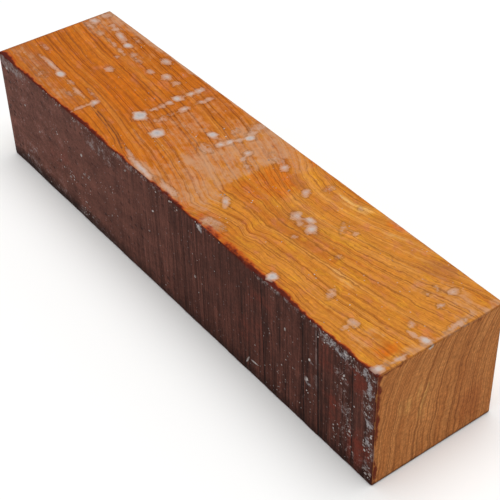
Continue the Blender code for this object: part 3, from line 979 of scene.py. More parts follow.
TOP_STAINS = (
    Zone(-9, 74, 67.5, 80, 1.25, 1.0, 4.0, 2.0),
    Zone(3, 28, 66.8, 80, 0.90, 6.0, 14.0, 4.6),
    Zone(74, 126, 67.6, 80, 1.20, 4.0, 4.0, 2.0),
    Zone(112, 130, 67.4, 80, 0.55, 4.0, 4.0, 3.0),
    Zone(146, 186, 67.6, 80, 1.20, 4.0, 4.0, 2.2),
    Zone(178, 185, 62.0, 80, 0.24, 5.0, 5.0, 5.0),
    Zone(189, 204, 66.8, 80, 0.70, 6.0, 6.0, 4.0),
    Zone(206, 228, 66.2, 80, 1.0, 10.0, 10.0, 5.0),
    Zone(222, 310, 67.5, 80, 1.25, 4.0, 2.0, 2.0),
)

SIDE_STAINS = (
    Zone(272, 283, 30, 50, 0.55, 9.0, 8.0, 18.0),
    Zone(270, 290, 5, 22, 0.30, 8.0, 6.0, 8.0),
    Zone(289, 300, 3, 24, 0.50, 8.0, 5.0, 14.0),
    Zone(284, 301, 40, 66, 0.60, 12.0, 5.0, 18.0),
    Zone(190, 226, -2, 1.6, 0.8, 5.0, 5.0, 1.0),
    Zone(212, 240, 6, 50, 0.20, 10.0, 8.0, 10.0),
    Zone(44, 76, 26, 50, 0.25, 12.0, 12.0, 10.0),
)

TOP_GOLD = (
    Zone(182, 200, 3, 11, 0.50, 8.0, 4.0, 4.0),
    Zone(176, 190, 44, 60, 0.35, 8.0, 8.0, 8.0),
    Zone(200, 232, 3, 10, 0.40, 8.0, 8.0, 4.0),
    Zone(222, 246, 23.5, 29, 0.50, 6.0, 8.0, 3.0),
    Zone(199, 206, 46, 55, 0.55, 4.0, 4.0, 5.0),
    Zone(243, 265, 34, 40, 0.30, 6.0, 8.0, 5.0),
    Zone(205, 305, 44, 66, 0.25, 12.0, 6.0, 8.0),
)

TOP_VIVID = (
    Zone(172.5, 187, 16, 47, 0.40, 1.6, 16.0, 10.0),
    Zone(172.5, 197, 17, 31, 0.55, 1.6, 12.0, 6.0),
    Zone(176, 186, -9, 2.5, 0.75, 4.0, 4.0, 2.0),
    Zone(214, 231, -9, 1.6, 0.75, 5.0, 5.0, 2.0),
    Zone(237, 248, -9, 3.4, 0.90, 5.0, 5.0, 2.4),
    Zone(291, 300, 50, 62, 0.85, 8.0, 5.0, 16.0),
    Zone(116, 130, 65, 70, 0.65, 5.0, 5.0, 2.0),
    Zone(196, 206, 63, 69, 0.60, 4.0, 4.0, 3.0),
    Zone(178, 184, 62, 69, 0.60, 4.0, 4.0, 3.0),
    Zone(52, 100, 22, 48, 0.35, 20.0, 20.0, 12.0),
    Zone(4, 40, 20, 34, 0.20, 8.0, 16.0, 8.0),
)

TOP_DUSK = (
    Zone(204, 232, 24, 44, 0.35, 12.0, 12.0, 10.0),
    Zone(264, 286, 1, 12, 0.60, 10.0, 8.0, 6.0),
    Zone(180, 196, 12, 20, 0.55, 6.0, 10.0, 6.0),
    Zone(-9, 74, 54.5, 80, 0.55, 2.0, 34.0, 3.0),
    Zone(-9, 8, 34, 80, 0.35, 2.0, 10.0, 8.0),
    Zone(125, 137, 8, 20, 0.30, 8.0, 8.0, 8.0),
)

TOP_STRAW = (
    Zone(204, 228, 5, 10, 0.55, 8.0, 8.0, 4.0),
    Zone(240, 267, 3, 9, 0.45, 10.0, 6.0, 4.0),
    Zone(252, 272, 14, 19, 0.30, 10.0, 8.0, 4.0),
    Zone(246, 262, 40, 46, 0.35, 8.0, 8.0, 4.0),
)

END_GOLD = (
    Zone(13, 20, 23, 32, 0.8, 3.0, 3.0, 5.0),
    Zone(22, 30, 20, 40, 0.8, 3.0, 3.0, 6.0),
)

END_EMBER = (
    Zone(47, 62, 40, 61, 0.7, 8.0, 8.0, 12.0),
    Zone(45, 56, 22, 40, 0.35, 8.0, 8.0, 12.0),
)

SAW_MARKS = (
    SawMark(158.0, 0.10, 0.20),
    SawMark(171.8, 0.20, 0.50, -9, 62),
    SawMark(181.6, 0.14, 0.35),
    SawMark(185.6, 0.12, 0.30),
    SawMark(193.6, 0.14, 0.30),
    SawMark(201.6, 0.12, 0.35),
    SawMark(207.6, 0.16, 0.35),
    SawMark(216.5, 0.18, 0.40),
    SawMark(220.5, 0.16, 0.35),
    SawMark(231.6, 0.26, 0.75),
    SawMark(237.9, 0.18, 0.50, 24, 80),
    SawMark(248.9, 0.22, 0.50, 20, 80),
    SawMark(259.6, 0.34, 0.85, 4, 80),
    SawMark(269.6, 0.45, 1.15, 3, 80),
    SawMark(291.4, 0.28, 0.70, 8, 62),
)

CHECKS = (
    Check(((75, 56.6), (88, 57.9), (97, 59.6), (104, 60.8), (111, 63.0), (117.5, 65.4)), 0.9, 0.4, 0.85),
    Check(((82, 58.6), (89, 59.9), (95, 60.6), (100, 62.2), (107, 63.6), (111, 65.4)), 0.65, 0.35, 0.7),
    Check(((92, 57.9), (98, 58.8), (103, 59.2), (109, 61.2), (114, 62.8)), 0.6, 0.25, 0.65),
    Check(((120.5, 15.9), (127, 16.5), (133, 17.4)), 0.40, 0.25, 0.75),
    Check(((282.5, 22.6), (284.5, 20.8), (290, 18.8), (297, 17.0), (305, 15.4)), 0.38, 0.2, 0.85),
    Check(((283, 3.8), (287, 6.2), (291, 5.2)), 0.35, 0.15, 0.6),
    Check(((253.6, 16.8), (255.6, 17.2), (257.6, 18.8)), 0.60, 0.15, 0.6),
    Check(((97.6, 48.4), (99.8, 48.9)), 0.60, 0.1, 0.7),
)


def vectors_of(items: bpy.types.bpy_prop_collection, name: str) -> np.ndarray:
    """Read three numbers of each item.

    Args:
        items: a mesh's points, faces or normals.
        name: what to read of each.

    Returns:
        An array with a row for each item.
    """
    values = np.empty(len(items) * 3)
    items.foreach_get(name, values)
    return values.reshape(-1, 3)


def zone_share(
    zones: tuple,
    along: np.ndarray,
    across: np.ndarray,
    edges_of: Callable | None = None,
) -> np.ndarray:
    """How strongly each point of a face lies in any of some soft zones, from 0 to 1.

    Args:
        zones: the zones on that face.
        along: each point's place along the billet, in millimetres.
        across: each point's place across the face, in millimetres, or its ring number.
        edges_of: turns a zone's two long edges into the measure that across is in.

    Returns:
        A share for each point.
    """
    share = np.zeros_like(along)
    for zone in zones:
        low, high = edges_of(zone) if edges_of else (zone.low, zone.high)
        enter = np.clip((along - zone.start) / zone.start_fade + 0.5, 0.0, 1.0)
        leave = np.clip((zone.end - along) / zone.end_fade + 0.5, 0.0, 1.0)
        above = np.clip((across - low) / zone.edge_fade + 0.5, 0.0, 1.0)
        below = np.clip((high - across) / zone.edge_fade + 0.5, 0.0, 1.0)
        inside = enter * leave * above * below
        share = np.maximum(share, zone.strength * inside * inside * (3.0 - 2.0 * inside))
    return share


def wander(places: np.ndarray, waves: float, seed: float) -> np.ndarray:
    """Soft noise from -1 to 1 at each place.

    Args:
        places: an array of places, in metres, one row each.
        waves: how many waves there are to a metre.
        seed: a number that shifts the noise.

    Returns:
        The noise at each place.
    """
    shift = Vector((seed, 2.0 * seed, -seed))
    return np.array([noise.noise(Vector(place) * waves + shift) for place in places])


@dataclass
class GrowthField:
    """Which ring of the timber each point lies on.

    The rings are known along the guide lines on the top. Lower down they lean over towards
    the sawn side, as the lines on the clean-cut end do.
    """

    guides: tuple = GUIDE_LINES
    lean: float = 13.0
    lean_depth: float = 20.0
    step: float = 0.5
    softness: float = 1.3

    def _guide_heights(self, length: float) -> tuple:
        """Follow the guide lines, with their corners softened.

        Args:
            length: the billet's length, in millimetres.

        Returns:
            Even steps along, and each line's place across at each step.
        """
        stations = np.arange(0.0, length + self.step, self.step)
        reach = int(3 * self.softness / self.step)
        kernel = np.exp(-0.5 * (np.arange(-reach, reach + 1) * self.step / self.softness) ** 2)
        kernel /= kernel.sum()
        lines = []
        for guide in self.guides:
            points = np.array(guide.points, float)
            line = np.interp(stations, points[:, 0], points[:, 1])
            padded = np.pad(line, reach, mode="reflect", reflect_type="odd")
            lines.append(np.convolve(padded, kernel, mode="valid"))
        return stations, np.array(lines)

    def rings(self, along: np.ndarray, across: np.ndarray, depth: np.ndarray) -> np.ndarray:
        """The ring number of each point.

        Args:
            along: places along the billet, in millimetres from the far end.
            across: places across it, in millimetres from the +Y side.
            depth: depths below the top, in millimetres.

        Returns:
            The ring number of each point, in millimetres across an average stretch.
        """
        stations, lines = self._guide_heights(FACE_LENGTH)
        across = across - self.lean * (1.0 - np.exp(-depth / self.lean_depth))
        heights = np.array([np.interp(along, stations, line) for line in lines])
        numbers = [guide.ring for guide in self.guides]
        low_gap = heights[1] - heights[0]
        ring = numbers[0] + (across - heights[0]) / low_gap * (numbers[1] - numbers[0])
        for index in range(1, len(numbers) - 1):
            gap = heights[index + 1] - heights[index]
            share = (across - heights[index]) / gap
            here = numbers[index] + share * (numbers[index + 1] - numbers[index])
            ring = np.where(across > heights[index], here, ring)
        return ring

    def zone_edges(self, zone: Zone) -> tuple:
        """Find the rings that a zone's two long edges lie on, halfway along it.

        Args:
            zone: the zone.

        Returns:
            The lower and the upper ring.
        """
        middle = np.full(2, (zone.start + zone.end) / 2)
        low, high = self.rings(middle, np.array((zone.low, zone.high), float), np.zeros(2))
        return low, high


class Side(Enum):
    """The billet's faces, by the way that they point."""

    TOP = (0, 0, 1)
    GROUND = (0, 0, -1)
    SAWN = (0, -1, 0)
    BACK = (0, 1, 0)
    CLEAN_END = (1, 0, 0)
    FAR_END = (-1, 0, 0)


@dataclass
class Billet:
    """The timber: one dense block, shaped, carved and marked point by point."""

    length: float = 305.0 * MM
    far_width: float = 69.8 * MM
    near_width: float = 68.4 * MM
    far_height: float = 65.8 * MM
    near_height: float = 64.6 * MM
    edge_radius: float = 0.8 * MM
    edge_steps: int = 3
    sections: int = 400
    cross_rows: int = 56
    height_rows: int = 27
    wear_depth: float = 1.1 * MM
    wear_length: float = 14.0 * MM
    wear_seed: float = 3.7
    wear_reach: float = 2.6 * MM
    chip_depth: float = 0.3 * MM
    mark_half_width: float = 0.8
    mark_fade: float = 6.0
    wax_rise: float = 0.42
    unevenness: tuple = ((420.0, 3.0), (110.0, 9.0), (50.0, 5.0))
    field: GrowthField = field(default_factory=GrowthField)

    def width_at(self, x: np.ndarray | float) -> np.ndarray | float:
        """The width at a place along the billet."""
        return self.far_width + (self.near_width - self.far_width) * (x / self.length + 0.5)

    def height_at(self, x: np.ndarray | float) -> np.ndarray | float:
        """The height at a place along the billet."""
        return self.far_height + (self.near_height - self.far_height) * (x / self.length + 0.5)

    def block(self) -> bpy.types.Object:
        """Make a straight block with rounded edges, divided evenly along, across and up.

        Returns:
            The block.
        """
        bpy.ops.object.select_all(action="DESELECT")
        middle = (0.0, 0.0, self.far_height / 2)
        bpy.ops.mesh.primitive_cube_add(size=1.0, location=middle)
        piece = bpy.context.object
        piece.name = "billet_timber"
        piece.scale = (self.length, self.far_width, self.far_height)
        bpy.ops.object.transform_apply(location=True, rotation=False, scale=True)
        bpy.ops.object.mode_set(mode="EDIT")
        bpy.ops.mesh.select_mode(type="EDGE")
        bpy.ops.mesh.select_all(action="SELECT")
        bpy.ops.mesh.bevel(offset=self.edge_radius, segments=self.edge_steps, affect="EDGES")
        bpy.ops.object.mode_set(mode="OBJECT")
        inside = np.array((self.length, self.far_width, self.far_height)) - 3 * self.edge_radius
        for axis, cuts in enumerate((self.sections, self.cross_rows, self.height_rows)):
            self._cut_long_edges(piece, axis, inside[axis], cuts)
        return piece

    def _cut_long_edges(self, piece: bpy.types.Object, axis: int, least: float, cuts: int) -> None:
        """Divide the edges that run the whole way along one axis.

        Args:
            piece: the block.
            axis: 0 along, 1 across or 2 up.
            least: the length of the shortest such edge, in metres.
            cuts: how many cuts to make.
        """
        mesh = piece.data
        places = vectors_of(mesh.vertices, "co")
        ends = np.empty(len(mesh.edges) * 2, int)
        mesh.edges.foreach_get("vertices", ends)
        ends = ends.reshape(-1, 2)
        spans = np.abs(places[ends[:, 0]] - places[ends[:, 1]])
        chosen = spans[:, axis] > least
        self._choose(mesh, edges=chosen)
        bpy.ops.object.mode_set(mode="EDIT")
        bpy.ops.mesh.select_mode(type="EDGE")
        bpy.ops.mesh.subdivide(number_cuts=cuts)
        bpy.ops.object.mode_set(mode="OBJECT")

    @staticmethod
    def _choose(
        mesh: bpy.types.Mesh,
        edges: np.ndarray | None = None,
        faces: np.ndarray | None = None,
    ) -> None:
        """Select some edges or faces, and nothing else.

        Args:
            mesh: the mesh.
            edges: whether to select each edge.
            faces: whether to select each face.
        """
        mesh.vertices.foreach_set("select", np.zeros(len(mesh.vertices), bool))
        mesh.edges.foreach_set("select", np.zeros(len(mesh.edges), bool))
        mesh.polygons.foreach_set("select", np.zeros(len(mesh.polygons), bool))
        if edges is not None:
            mesh.edges.foreach_set("select", edges)
        if faces is not None:
            mesh.polygons.foreach_set("select", faces)

    def refine(self, piece: bpy.types.Object) -> None:
        """Divide the faces again where the relief is fine: at the sawn side's upper arris, the pats and the
        checks.

        Args:
            piece: the block.
        """
        for pick in (self._near_relief, self._near_checks, self._near_checks):
            mesh = piece.data
            chosen = pick(vectors_of(mesh.polygons, "center"), vectors_of(mesh.polygons, "normal"))
            self._choose(mesh, faces=chosen)
            bpy.ops.object.mode_set(mode="EDIT")
            bpy.ops.mesh.select_mode(type="FACE")
            bpy.ops.mesh.subdivide(number_cuts=1)
            bpy.ops.object.mode_set(mode="OBJECT")

    def _near_relief(self, middles: np.ndarray, normals: np.ndarray) -> np.ndarray:
        """Find the faces at the sawn side's upper arris or under a pat of wax.

        Args:
            middles: the faces' middles, in metres.
            normals: the ways that they point.

        Returns:
            Whether each face lies there.
        """
        along, across, depth = self._read(middles)
        arris = (across > 66.5) & (depth < 2.5)
        on_top = normals[:, 2] > FLAT
        under_wax = on_top & (self._wax(TOP_WAX, along, across, np.zeros_like(along)) > -0.2)
        return arris | under_wax

    def _near_checks(self, middles: np.ndarray, normals: np.ndarray) -> np.ndarray:
        """Which faces lie at a drying check."""
        along, across, _ = self._read(middles)
        return (normals[:, 2] > FLAT) & (self._open(along, across, spare=0.8)[0] > 0.0)

    def _read(self, places: np.ndarray) -> tuple:
        """Read places of the straight block.

        Args:
            places: the places, in metres.

        Returns:
            How far along, across from +Y and deep each one is, in millimetres.
        """
        along = (places[:, 0] + self.length / 2) / MM
        across = (self.far_width / 2 - places[:, 1]) / self.far_width * FACE_WIDTH
        depth = (self.far_height - places[:, 2]) / self.far_height * FACE_DEPTH
        return along, across, depth

    @staticmethod
    def _inside(pat: WaxPat, along: np.ndarray, across: np.ndarray, rough: np.ndarray) -> np.ndarray:
        """Find how far each point lies inside a pat.

        Args:
            pat: the pat.
            along: places along, in millimetres.
            across: places across, in millimetres.
            rough: noise that makes the rim ragged.

        Returns:
            1 at the pat's middle, 0 at its rim and less outside.
        """
        turn = math.radians(pat.turn)
        aside = along - pat.along
        down = across - pat.across
        long_way = (aside * math.cos(turn) - down * math.sin(turn)) / (pat.length / 2)
        short_way = (down * math.cos(turn) + aside * math.sin(turn)) / (pat.breadth / 2)
        return 1.0 - np.hypot(long_way, short_way) * (1.0 + 0.36 * rough)

    def _wax(self, pats: tuple, along: np.ndarray, across: np.ndarray, rough: np.ndarray) -> np.ndarray:
        """Find how dense the wax is at each point.

        Args:
            pats: the pats of wax.
            along: places along, in millimetres.
            across: places across, in millimetres.
            rough: noise that makes the rims ragged.

        Returns:
            The density, below 0 outside every pat.
        """
        dense = np.full_like(along, -1.0)
        for pat in pats:
            inside = self._inside(pat, along, across, rough)
            dense = np.maximum(dense, np.where(inside > 0.0, np.abs(inside) ** 0.45 * pat.density, inside))
        return dense

    def _wax_rise(self, pats: tuple, along: np.ndarray, across: np.ndarray, rough: np.ndarray) -> np.ndarray:
        """Find how high the wax stands at each point.

        Args:
            pats: the pats of wax.
            along: places along, in millimetres.
            across: places across, in millimetres.
            rough: noise that makes it lumpy.

        Returns:
            The height, in millimetres.
        """
        height = np.zeros_like(along)
        for pat in pats:
            inside = np.clip(self._inside(pat, along, across, rough), 0.0, 1.0)
            lumps = np.sqrt(inside) * (0.8 + 0.4 * rough)
            height = np.maximum(height, self.wax_rise * pat.density * lumps)
        return height

    @staticmethod
    def _open(along: np.ndarray, across: np.ndarray, spare: float = 0.0) -> tuple:
        """Find how open the drying checks leave the top.

        Args:
            along: places along, in millimetres.
            across: places across, in millimetres.
            spare: how much wider to take the checks, in millimetres.

        Returns:
            How far inside a check each point lies, and how deep that is, in millimetres.
        """
        dark = np.zeros_like(along)
        deep = np.zeros_like(along)
        for check in CHECKS:
            gap = np.full_like(along, FAR_OFF)
            for start, end in zip(check.points, check.points[1:]):
                run = np.array(end) - np.array(start)
                aside = np.stack((along - start[0], across - start[1]), axis=-1)
                share = np.clip(aside @ run / (run @ run), 0.0, 1.0)
                gap = np.minimum(gap, np.hypot(*(aside - share[..., None] * run).T))
            inside = np.clip(1.0 - gap / (check.half_width + spare), 0.0, 1.0)
            dark = np.maximum(dark, inside * check.strength)
            deep = np.maximum(deep, inside * check.depth)
        return dark, deep

    def _groove_depth(self, along: np.ndarray, depth: np.ndarray, rough: np.ndarray) -> np.ndarray:
        """Find how deep the saw marks are on the sawn side.

        Args:
            along: places along, in millimetres.
            depth: depths below the top, in millimetres.
            rough: noise that makes them uneven.

        Returns:
            The depth at each point, in millimetres.
        """
        deep = np.zeros_like(along)
        for mark in SAW_MARKS:
            near = np.clip(1.0 - np.abs(along - mark.along) / self.mark_half_width, 0.0, 1.0)
            enter = np.clip((depth - mark.start) / self.mark_fade, 0.0, 1.0)
            leave = np.clip((mark.end - depth) / self.mark_fade, 0.0, 1.0)
            ends = enter * leave
            deep = np.maximum(deep, near * ends * (1.0 + 0.35 * rough) * mark.depth)
        return deep

    def carve(self, piece: bpy.types.Object) -> None:
        """Move every point to its place, and mark it with what the finishes need.

        Args:
            piece: the divided block.
        """
        mesh = piece.data
        count = len(mesh.vertices)
        straight = vectors_of(mesh.vertices, "co")
        normals = vectors_of(mesh.vertex_normals, "vector")
        along, across, depth = self._read(straight)
        rough, soft, softer = (wander(straight, waves, seed) for waves, seed in self.unevenness)
        up, out = normals[:, 2], -normals[:, 1]
        top = up > SLANTING
        sawn = out > SLANTING
        near_end = normals[:, 0] > FLAT
        ring = self.field.rings(along, across, depth)

        wax = np.full(count, -1.0)
        rise = np.zeros(count)
        over = FACE_WIDTH - across
        faces = (
            (top, TOP_WAX, along, across),
            (sawn, SIDE_WAX, along, depth),
            (near_end, END_WAX, over, depth),
        )
        for where, pats, first, second in faces:
            here = self._wax(pats, first[where], second[where], rough[where])
            wax[where] = np.maximum(wax[where], here)
            height = self._wax_rise(pats, first[where], second[where], rough[where])
            rise[where] = np.maximum(rise[where], height)

        ragged_along = along + 4.0 * softer + 2.0 * soft + 0.8 * rough
        ragged_across = across + 1.2 * softer + 1.2 * soft + 0.6 * rough
        ragged_depth = depth + 1.6 * softer + 1.4 * soft + 0.6 * rough
        ragged_ring = ring + 1.5 * softer + 1.0 * soft
        shifted = along + 1.5 * soft

        def on_top(zones: tuple, firm: bool = False) -> np.ndarray:
            """A share for each point of the top, and 0 elsewhere."""
            return np.where(top, zone_share(zones, shifted if firm else ragged_along, ragged_across), 0.0)

        def with_grain(zones: tuple) -> np.ndarray:
            """A share for each point of the top, for zones that follow the grain."""
            share = zone_share(zones, ragged_along, ragged_ring, self.field.zone_edges)
            return np.where(top, share, 0.0)

        def on_side(zones: tuple) -> np.ndarray:
            """A share for each point of the sawn side, and 0 elsewhere."""
            return np.where(sawn, zone_share(zones, ragged_along, ragged_depth), 0.0)

        film = np.maximum(on_top(TOP_FILM, firm=True), on_side(SIDE_FILM))
        end_film = np.clip(0.68 + 0.4 * soft + 0.1 * softer, 0.0, 0.9)
        film = np.where(normals[:, 0] < -TURNED, end_film, film)
        film = np.where(out < -TURNED, np.clip(soft * 0.8 + 0.1, 0.0, 0.6), film)
        stain = np.maximum(on_top(TOP_STAINS), on_side(SIDE_STAINS))
        left_rim = np.clip(1.35 - over / 1.9 + soft * 1.2 + rough * 0.5, 0.0, 1.0) * (over < 4.5)
        top_rim = np.clip(0.7 - depth / 1.8 + soft * 1.2 + rough * 0.4, 0.0, 0.7)
        stain = np.where(near_end, np.maximum(left_rim, top_rim), stain)
        gold = np.where(near_end, zone_share(END_GOLD, over, depth), with_grain(TOP_GOLD))
        vivid = np.where(near_end, zone_share(END_EMBER, over, depth), with_grain(TOP_VIVID))
        dusk = with_grain(TOP_DUSK)
        straw = with_grain(TOP_STRAW)

        cut, cut_depth = self._open(along, across)
        grooves = np.where(out > TURNED, self._groove_depth(along, depth, soft), 0.0)
        cut = np.where(up > FLAT, cut, 0.0)
        # Painted shade on the rounded arrises: rim grows where a point's normal leans between two faces, and
        # each finish draws it darker
        rim = np.clip((0.98 - np.abs(normals).max(axis=1)) * 6.0, 0.0, 1.0)
        stain = np.where(sawn & top, np.maximum(stain, 1.0 + 0.6 * soft), stain)

        snapped = self._snapped(straight[:, 0])
        places = straight.copy()
        places[:, 0] = snapped
        places[:, 1] *= self.width_at(snapped) / self.far_width
        places[:, 2] *= self.height_at(snapped) / self.far_height
        push = rise - grooves - np.where(up > FLAT, cut_depth, 0.0)
        push = push * MM - self._wear(straight, rough)
        fixed = (straight[:, 2] < self.edge_radius * 0.5) | (np.abs(normals[:, 0]) > FLAT)
        places += normals * np.where(fixed, 0.0, push)[:, None]
        places = np.clip(places, *CAD_BOX)
        mesh.vertices.foreach_set("co", places.ravel())

        self._mark(mesh, "figure", np.stack((along, ring, depth), axis=1) * MM)
        self._mark(mesh, "coat", np.stack((wax, film, cut), axis=1))
        self._mark(mesh, "tint", np.stack((gold, vivid, dusk), axis=1))
        self._mark(mesh, "mark", np.stack((stain, straw, rim), axis=1))
        mesh.update()

    def _snapped(self, x: np.ndarray) -> np.ndarray:
        """Shift the section nearest each saw mark, so that it lies at the mark's bottom.

        Args:
            x: places along, in metres.

        Returns:
            The shifted places.
        """
        moved = x.copy()
        step = self.length / (self.sections + 1)
        for mark in SAW_MARKS:
            middle = mark.along * MM - self.length / 2
            near = np.abs(x - middle) < step * 0.5
            moved = np.where(near, middle, moved)
        return moved

    def _wear(self, straight: np.ndarray, rough: np.ndarray) -> np.ndarray:
        """Find how far each point near a long arris is worn in.

        Args:
            straight: places on the straight block, in metres.
            rough: noise that makes chips.

        Returns:
            The depth of the wear, in metres.
        """
        beside = straight[:, 1] > 0.0
        above = straight[:, 2] > self.far_height / 2
        side_gap = self.far_width / 2 - np.abs(straight[:, 1])
        level_gap = np.minimum(self.far_height - straight[:, 2], straight[:, 2])
        near = np.clip(1.0 - (side_gap + level_gap) / self.wear_reach, 0.0, 1.0)
        arris = 1.0 + 2.0 * above + 1.0 * beside
        spots = np.stack((straight[:, 0] / self.wear_length, self.wear_seed * arris), axis=1)
        dips = np.array([noise.noise(Vector((along, number, 0.0))) for along, number in spots])
        chips = self.chip_depth * np.clip(rough, 0.0, 1.0)
        share = np.where(above & beside, 0.3, 1.0)
        return near * near * share * (self.wear_depth * np.clip(dips, 0.0, 1.0) + chips)

    @staticmethod
    def _mark(mesh: bpy.types.Mesh, name: str, values: np.ndarray) -> None:
        """Store three numbers at each point of a mesh."""
        attribute = mesh.attributes.new(name, "FLOAT_VECTOR", "POINT")
        attribute.data.foreach_set("vector", values.astype(np.float32).ravel())

    def dress(self, piece: bpy.types.Object) -> None:
        """Give each face the finish of its side.

        Args:
            piece: the timber.
        """
        finishes = (WaxedFace(), SawnFace(), EndGrain())
        for finish in finishes:
            piece.data.materials.append(finish.material())
        choice = {
            Side.TOP: 0,
            Side.BACK: 0,
            Side.SAWN: 1,
            Side.GROUND: 1,
            Side.CLEAN_END: 2,
            Side.FAR_END: 2,
        }
        mesh = piece.data
        normals = vectors_of(mesh.polygons, "normal")
        sides = list(Side)
        facing = np.stack([normals @ np.array(side.value, float) for side in sides], axis=1)
        picks = np.array([choice[side] for side in sides])[facing.argmax(axis=1)]
        mesh.polygons.foreach_set("material_index", picks.astype(np.int32))
        mesh.polygons.foreach_set("use_smooth", np.ones(len(mesh.polygons), bool))

    def build(self) -> bpy.types.Object:
        """Make the whole timber and let it stand for its node.

        Returns:
            The timber.
        """
        piece = self.block()
        self.refine(piece)
        self.carve(piece)
        self.dress(piece)
        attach(piece, BODY)
        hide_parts(TIMBER_NODE)
        return piece


class Scatter(NamedTuple):
    """Crumbs strewn over a part of a face: where, how many, their least and greatest size, and clumps."""

    side: Side
    start: float
    end: float
    low: float
    high: float
    count: int
    least: float
    greatest: float
    clumps: int = 0


class Crumb(NamedTuple):
    """One crumb with a place of its own on a face, in millimetres and degrees."""

    side: Side
    along: float
    across: float
    length: float
    breadth: float
    turn: float


SCATTERS = (
    Scatter(Side.SAWN, 280, 293, 4, 62, 90, 0.4, 1.3, 12),
    Scatter(Side.SAWN, 299, 304, 2, 63, 90, 0.5, 1.8, 9),
    Scatter(Side.SAWN, 268, 301, 1, 6, 60, 0.5, 1.6, 8),
    Scatter(Side.SAWN, 242, 268, 6, 60, 46, 0.4, 1.0, 8),
    Scatter(Side.SAWN, 76, 88, 32, 62, 34, 0.5, 1.3, 5),
    Scatter(Side.SAWN, 98, 112, 26, 56, 26, 0.4, 1.1, 5),
    Scatter(Side.SAWN, 60, 72, 40, 50, 14, 0.6, 1.5, 2),
    Scatter(Side.SAWN, 52, 68, 19, 26, 8, 0.6, 1.2, 2),
    Scatter(Side.SAWN, 8, 76, 5, 62, 24, 0.4, 0.9, 7),
    Scatter(Side.SAWN, 108, 244, 3, 62, 36, 0.4, 0.8, 12),
    Scatter(Side.SAWN, 32, 180, 0.5, 3.5, 50, 0.4, 1.4, 9),
    Scatter(Side.SAWN, 180, 300, 0.5, 2.5, 30, 0.4, 1.2, 8),
    Scatter(Side.TOP, 6, 300, 4, 66, 70, 0.4, 0.9, 20),
    Scatter(Side.TOP, 128, 196, 8, 62, 40, 0.4, 1.1, 8),
)

CRUMBS = (
    Crumb(Side.SAWN, 219.8, 57.5, 6.0, 1.1, 65.0),
    Crumb(Side.SAWN, 225.0, 55.6, 6.0, 1.1, 5.0),
    Crumb(Side.SAWN, 186.0, 2.4, 3.0, 3.6, 60.0),
    Crumb(Side.SAWN, 7.0, 7.0, 2.4, 1.4, 10.0),
    Crumb(Side.SAWN, 36.0, 32.0, 2.0, 1.2, 40.0),
    Crumb(Side.SAWN, 23.0, 22.0, 1.8, 1.2, 0.0),
    Crumb(Side.SAWN, 124.5, 6.5, 2.6, 1.2, 35.0),
    Crumb(Side.SAWN, 147.0, 17.0, 2.2, 1.2, 30.0),
    Crumb(Side.SAWN, 142.0, 32.0, 1.8, 1.0, 20.0),
    Crumb(Side.SAWN, 180.0, 35.0, 1.8, 1.8, 0.0),
    Crumb(Side.SAWN, 81.0, 22.0, 2.4, 1.8, 50.0),
    Crumb(Side.SAWN, 66.0, 44.0, 2.4, 1.6, 30.0),
    Crumb(Side.SAWN, 262.0, 36.0, 3.4, 2.2, 45.0),
    Crumb(Side.SAWN, 264.0, 23.0, 2.0, 1.6, 60.0),
    Crumb(Side.SAWN, 247.5, 18.0, 1.2, 2.2, 0.0),
)


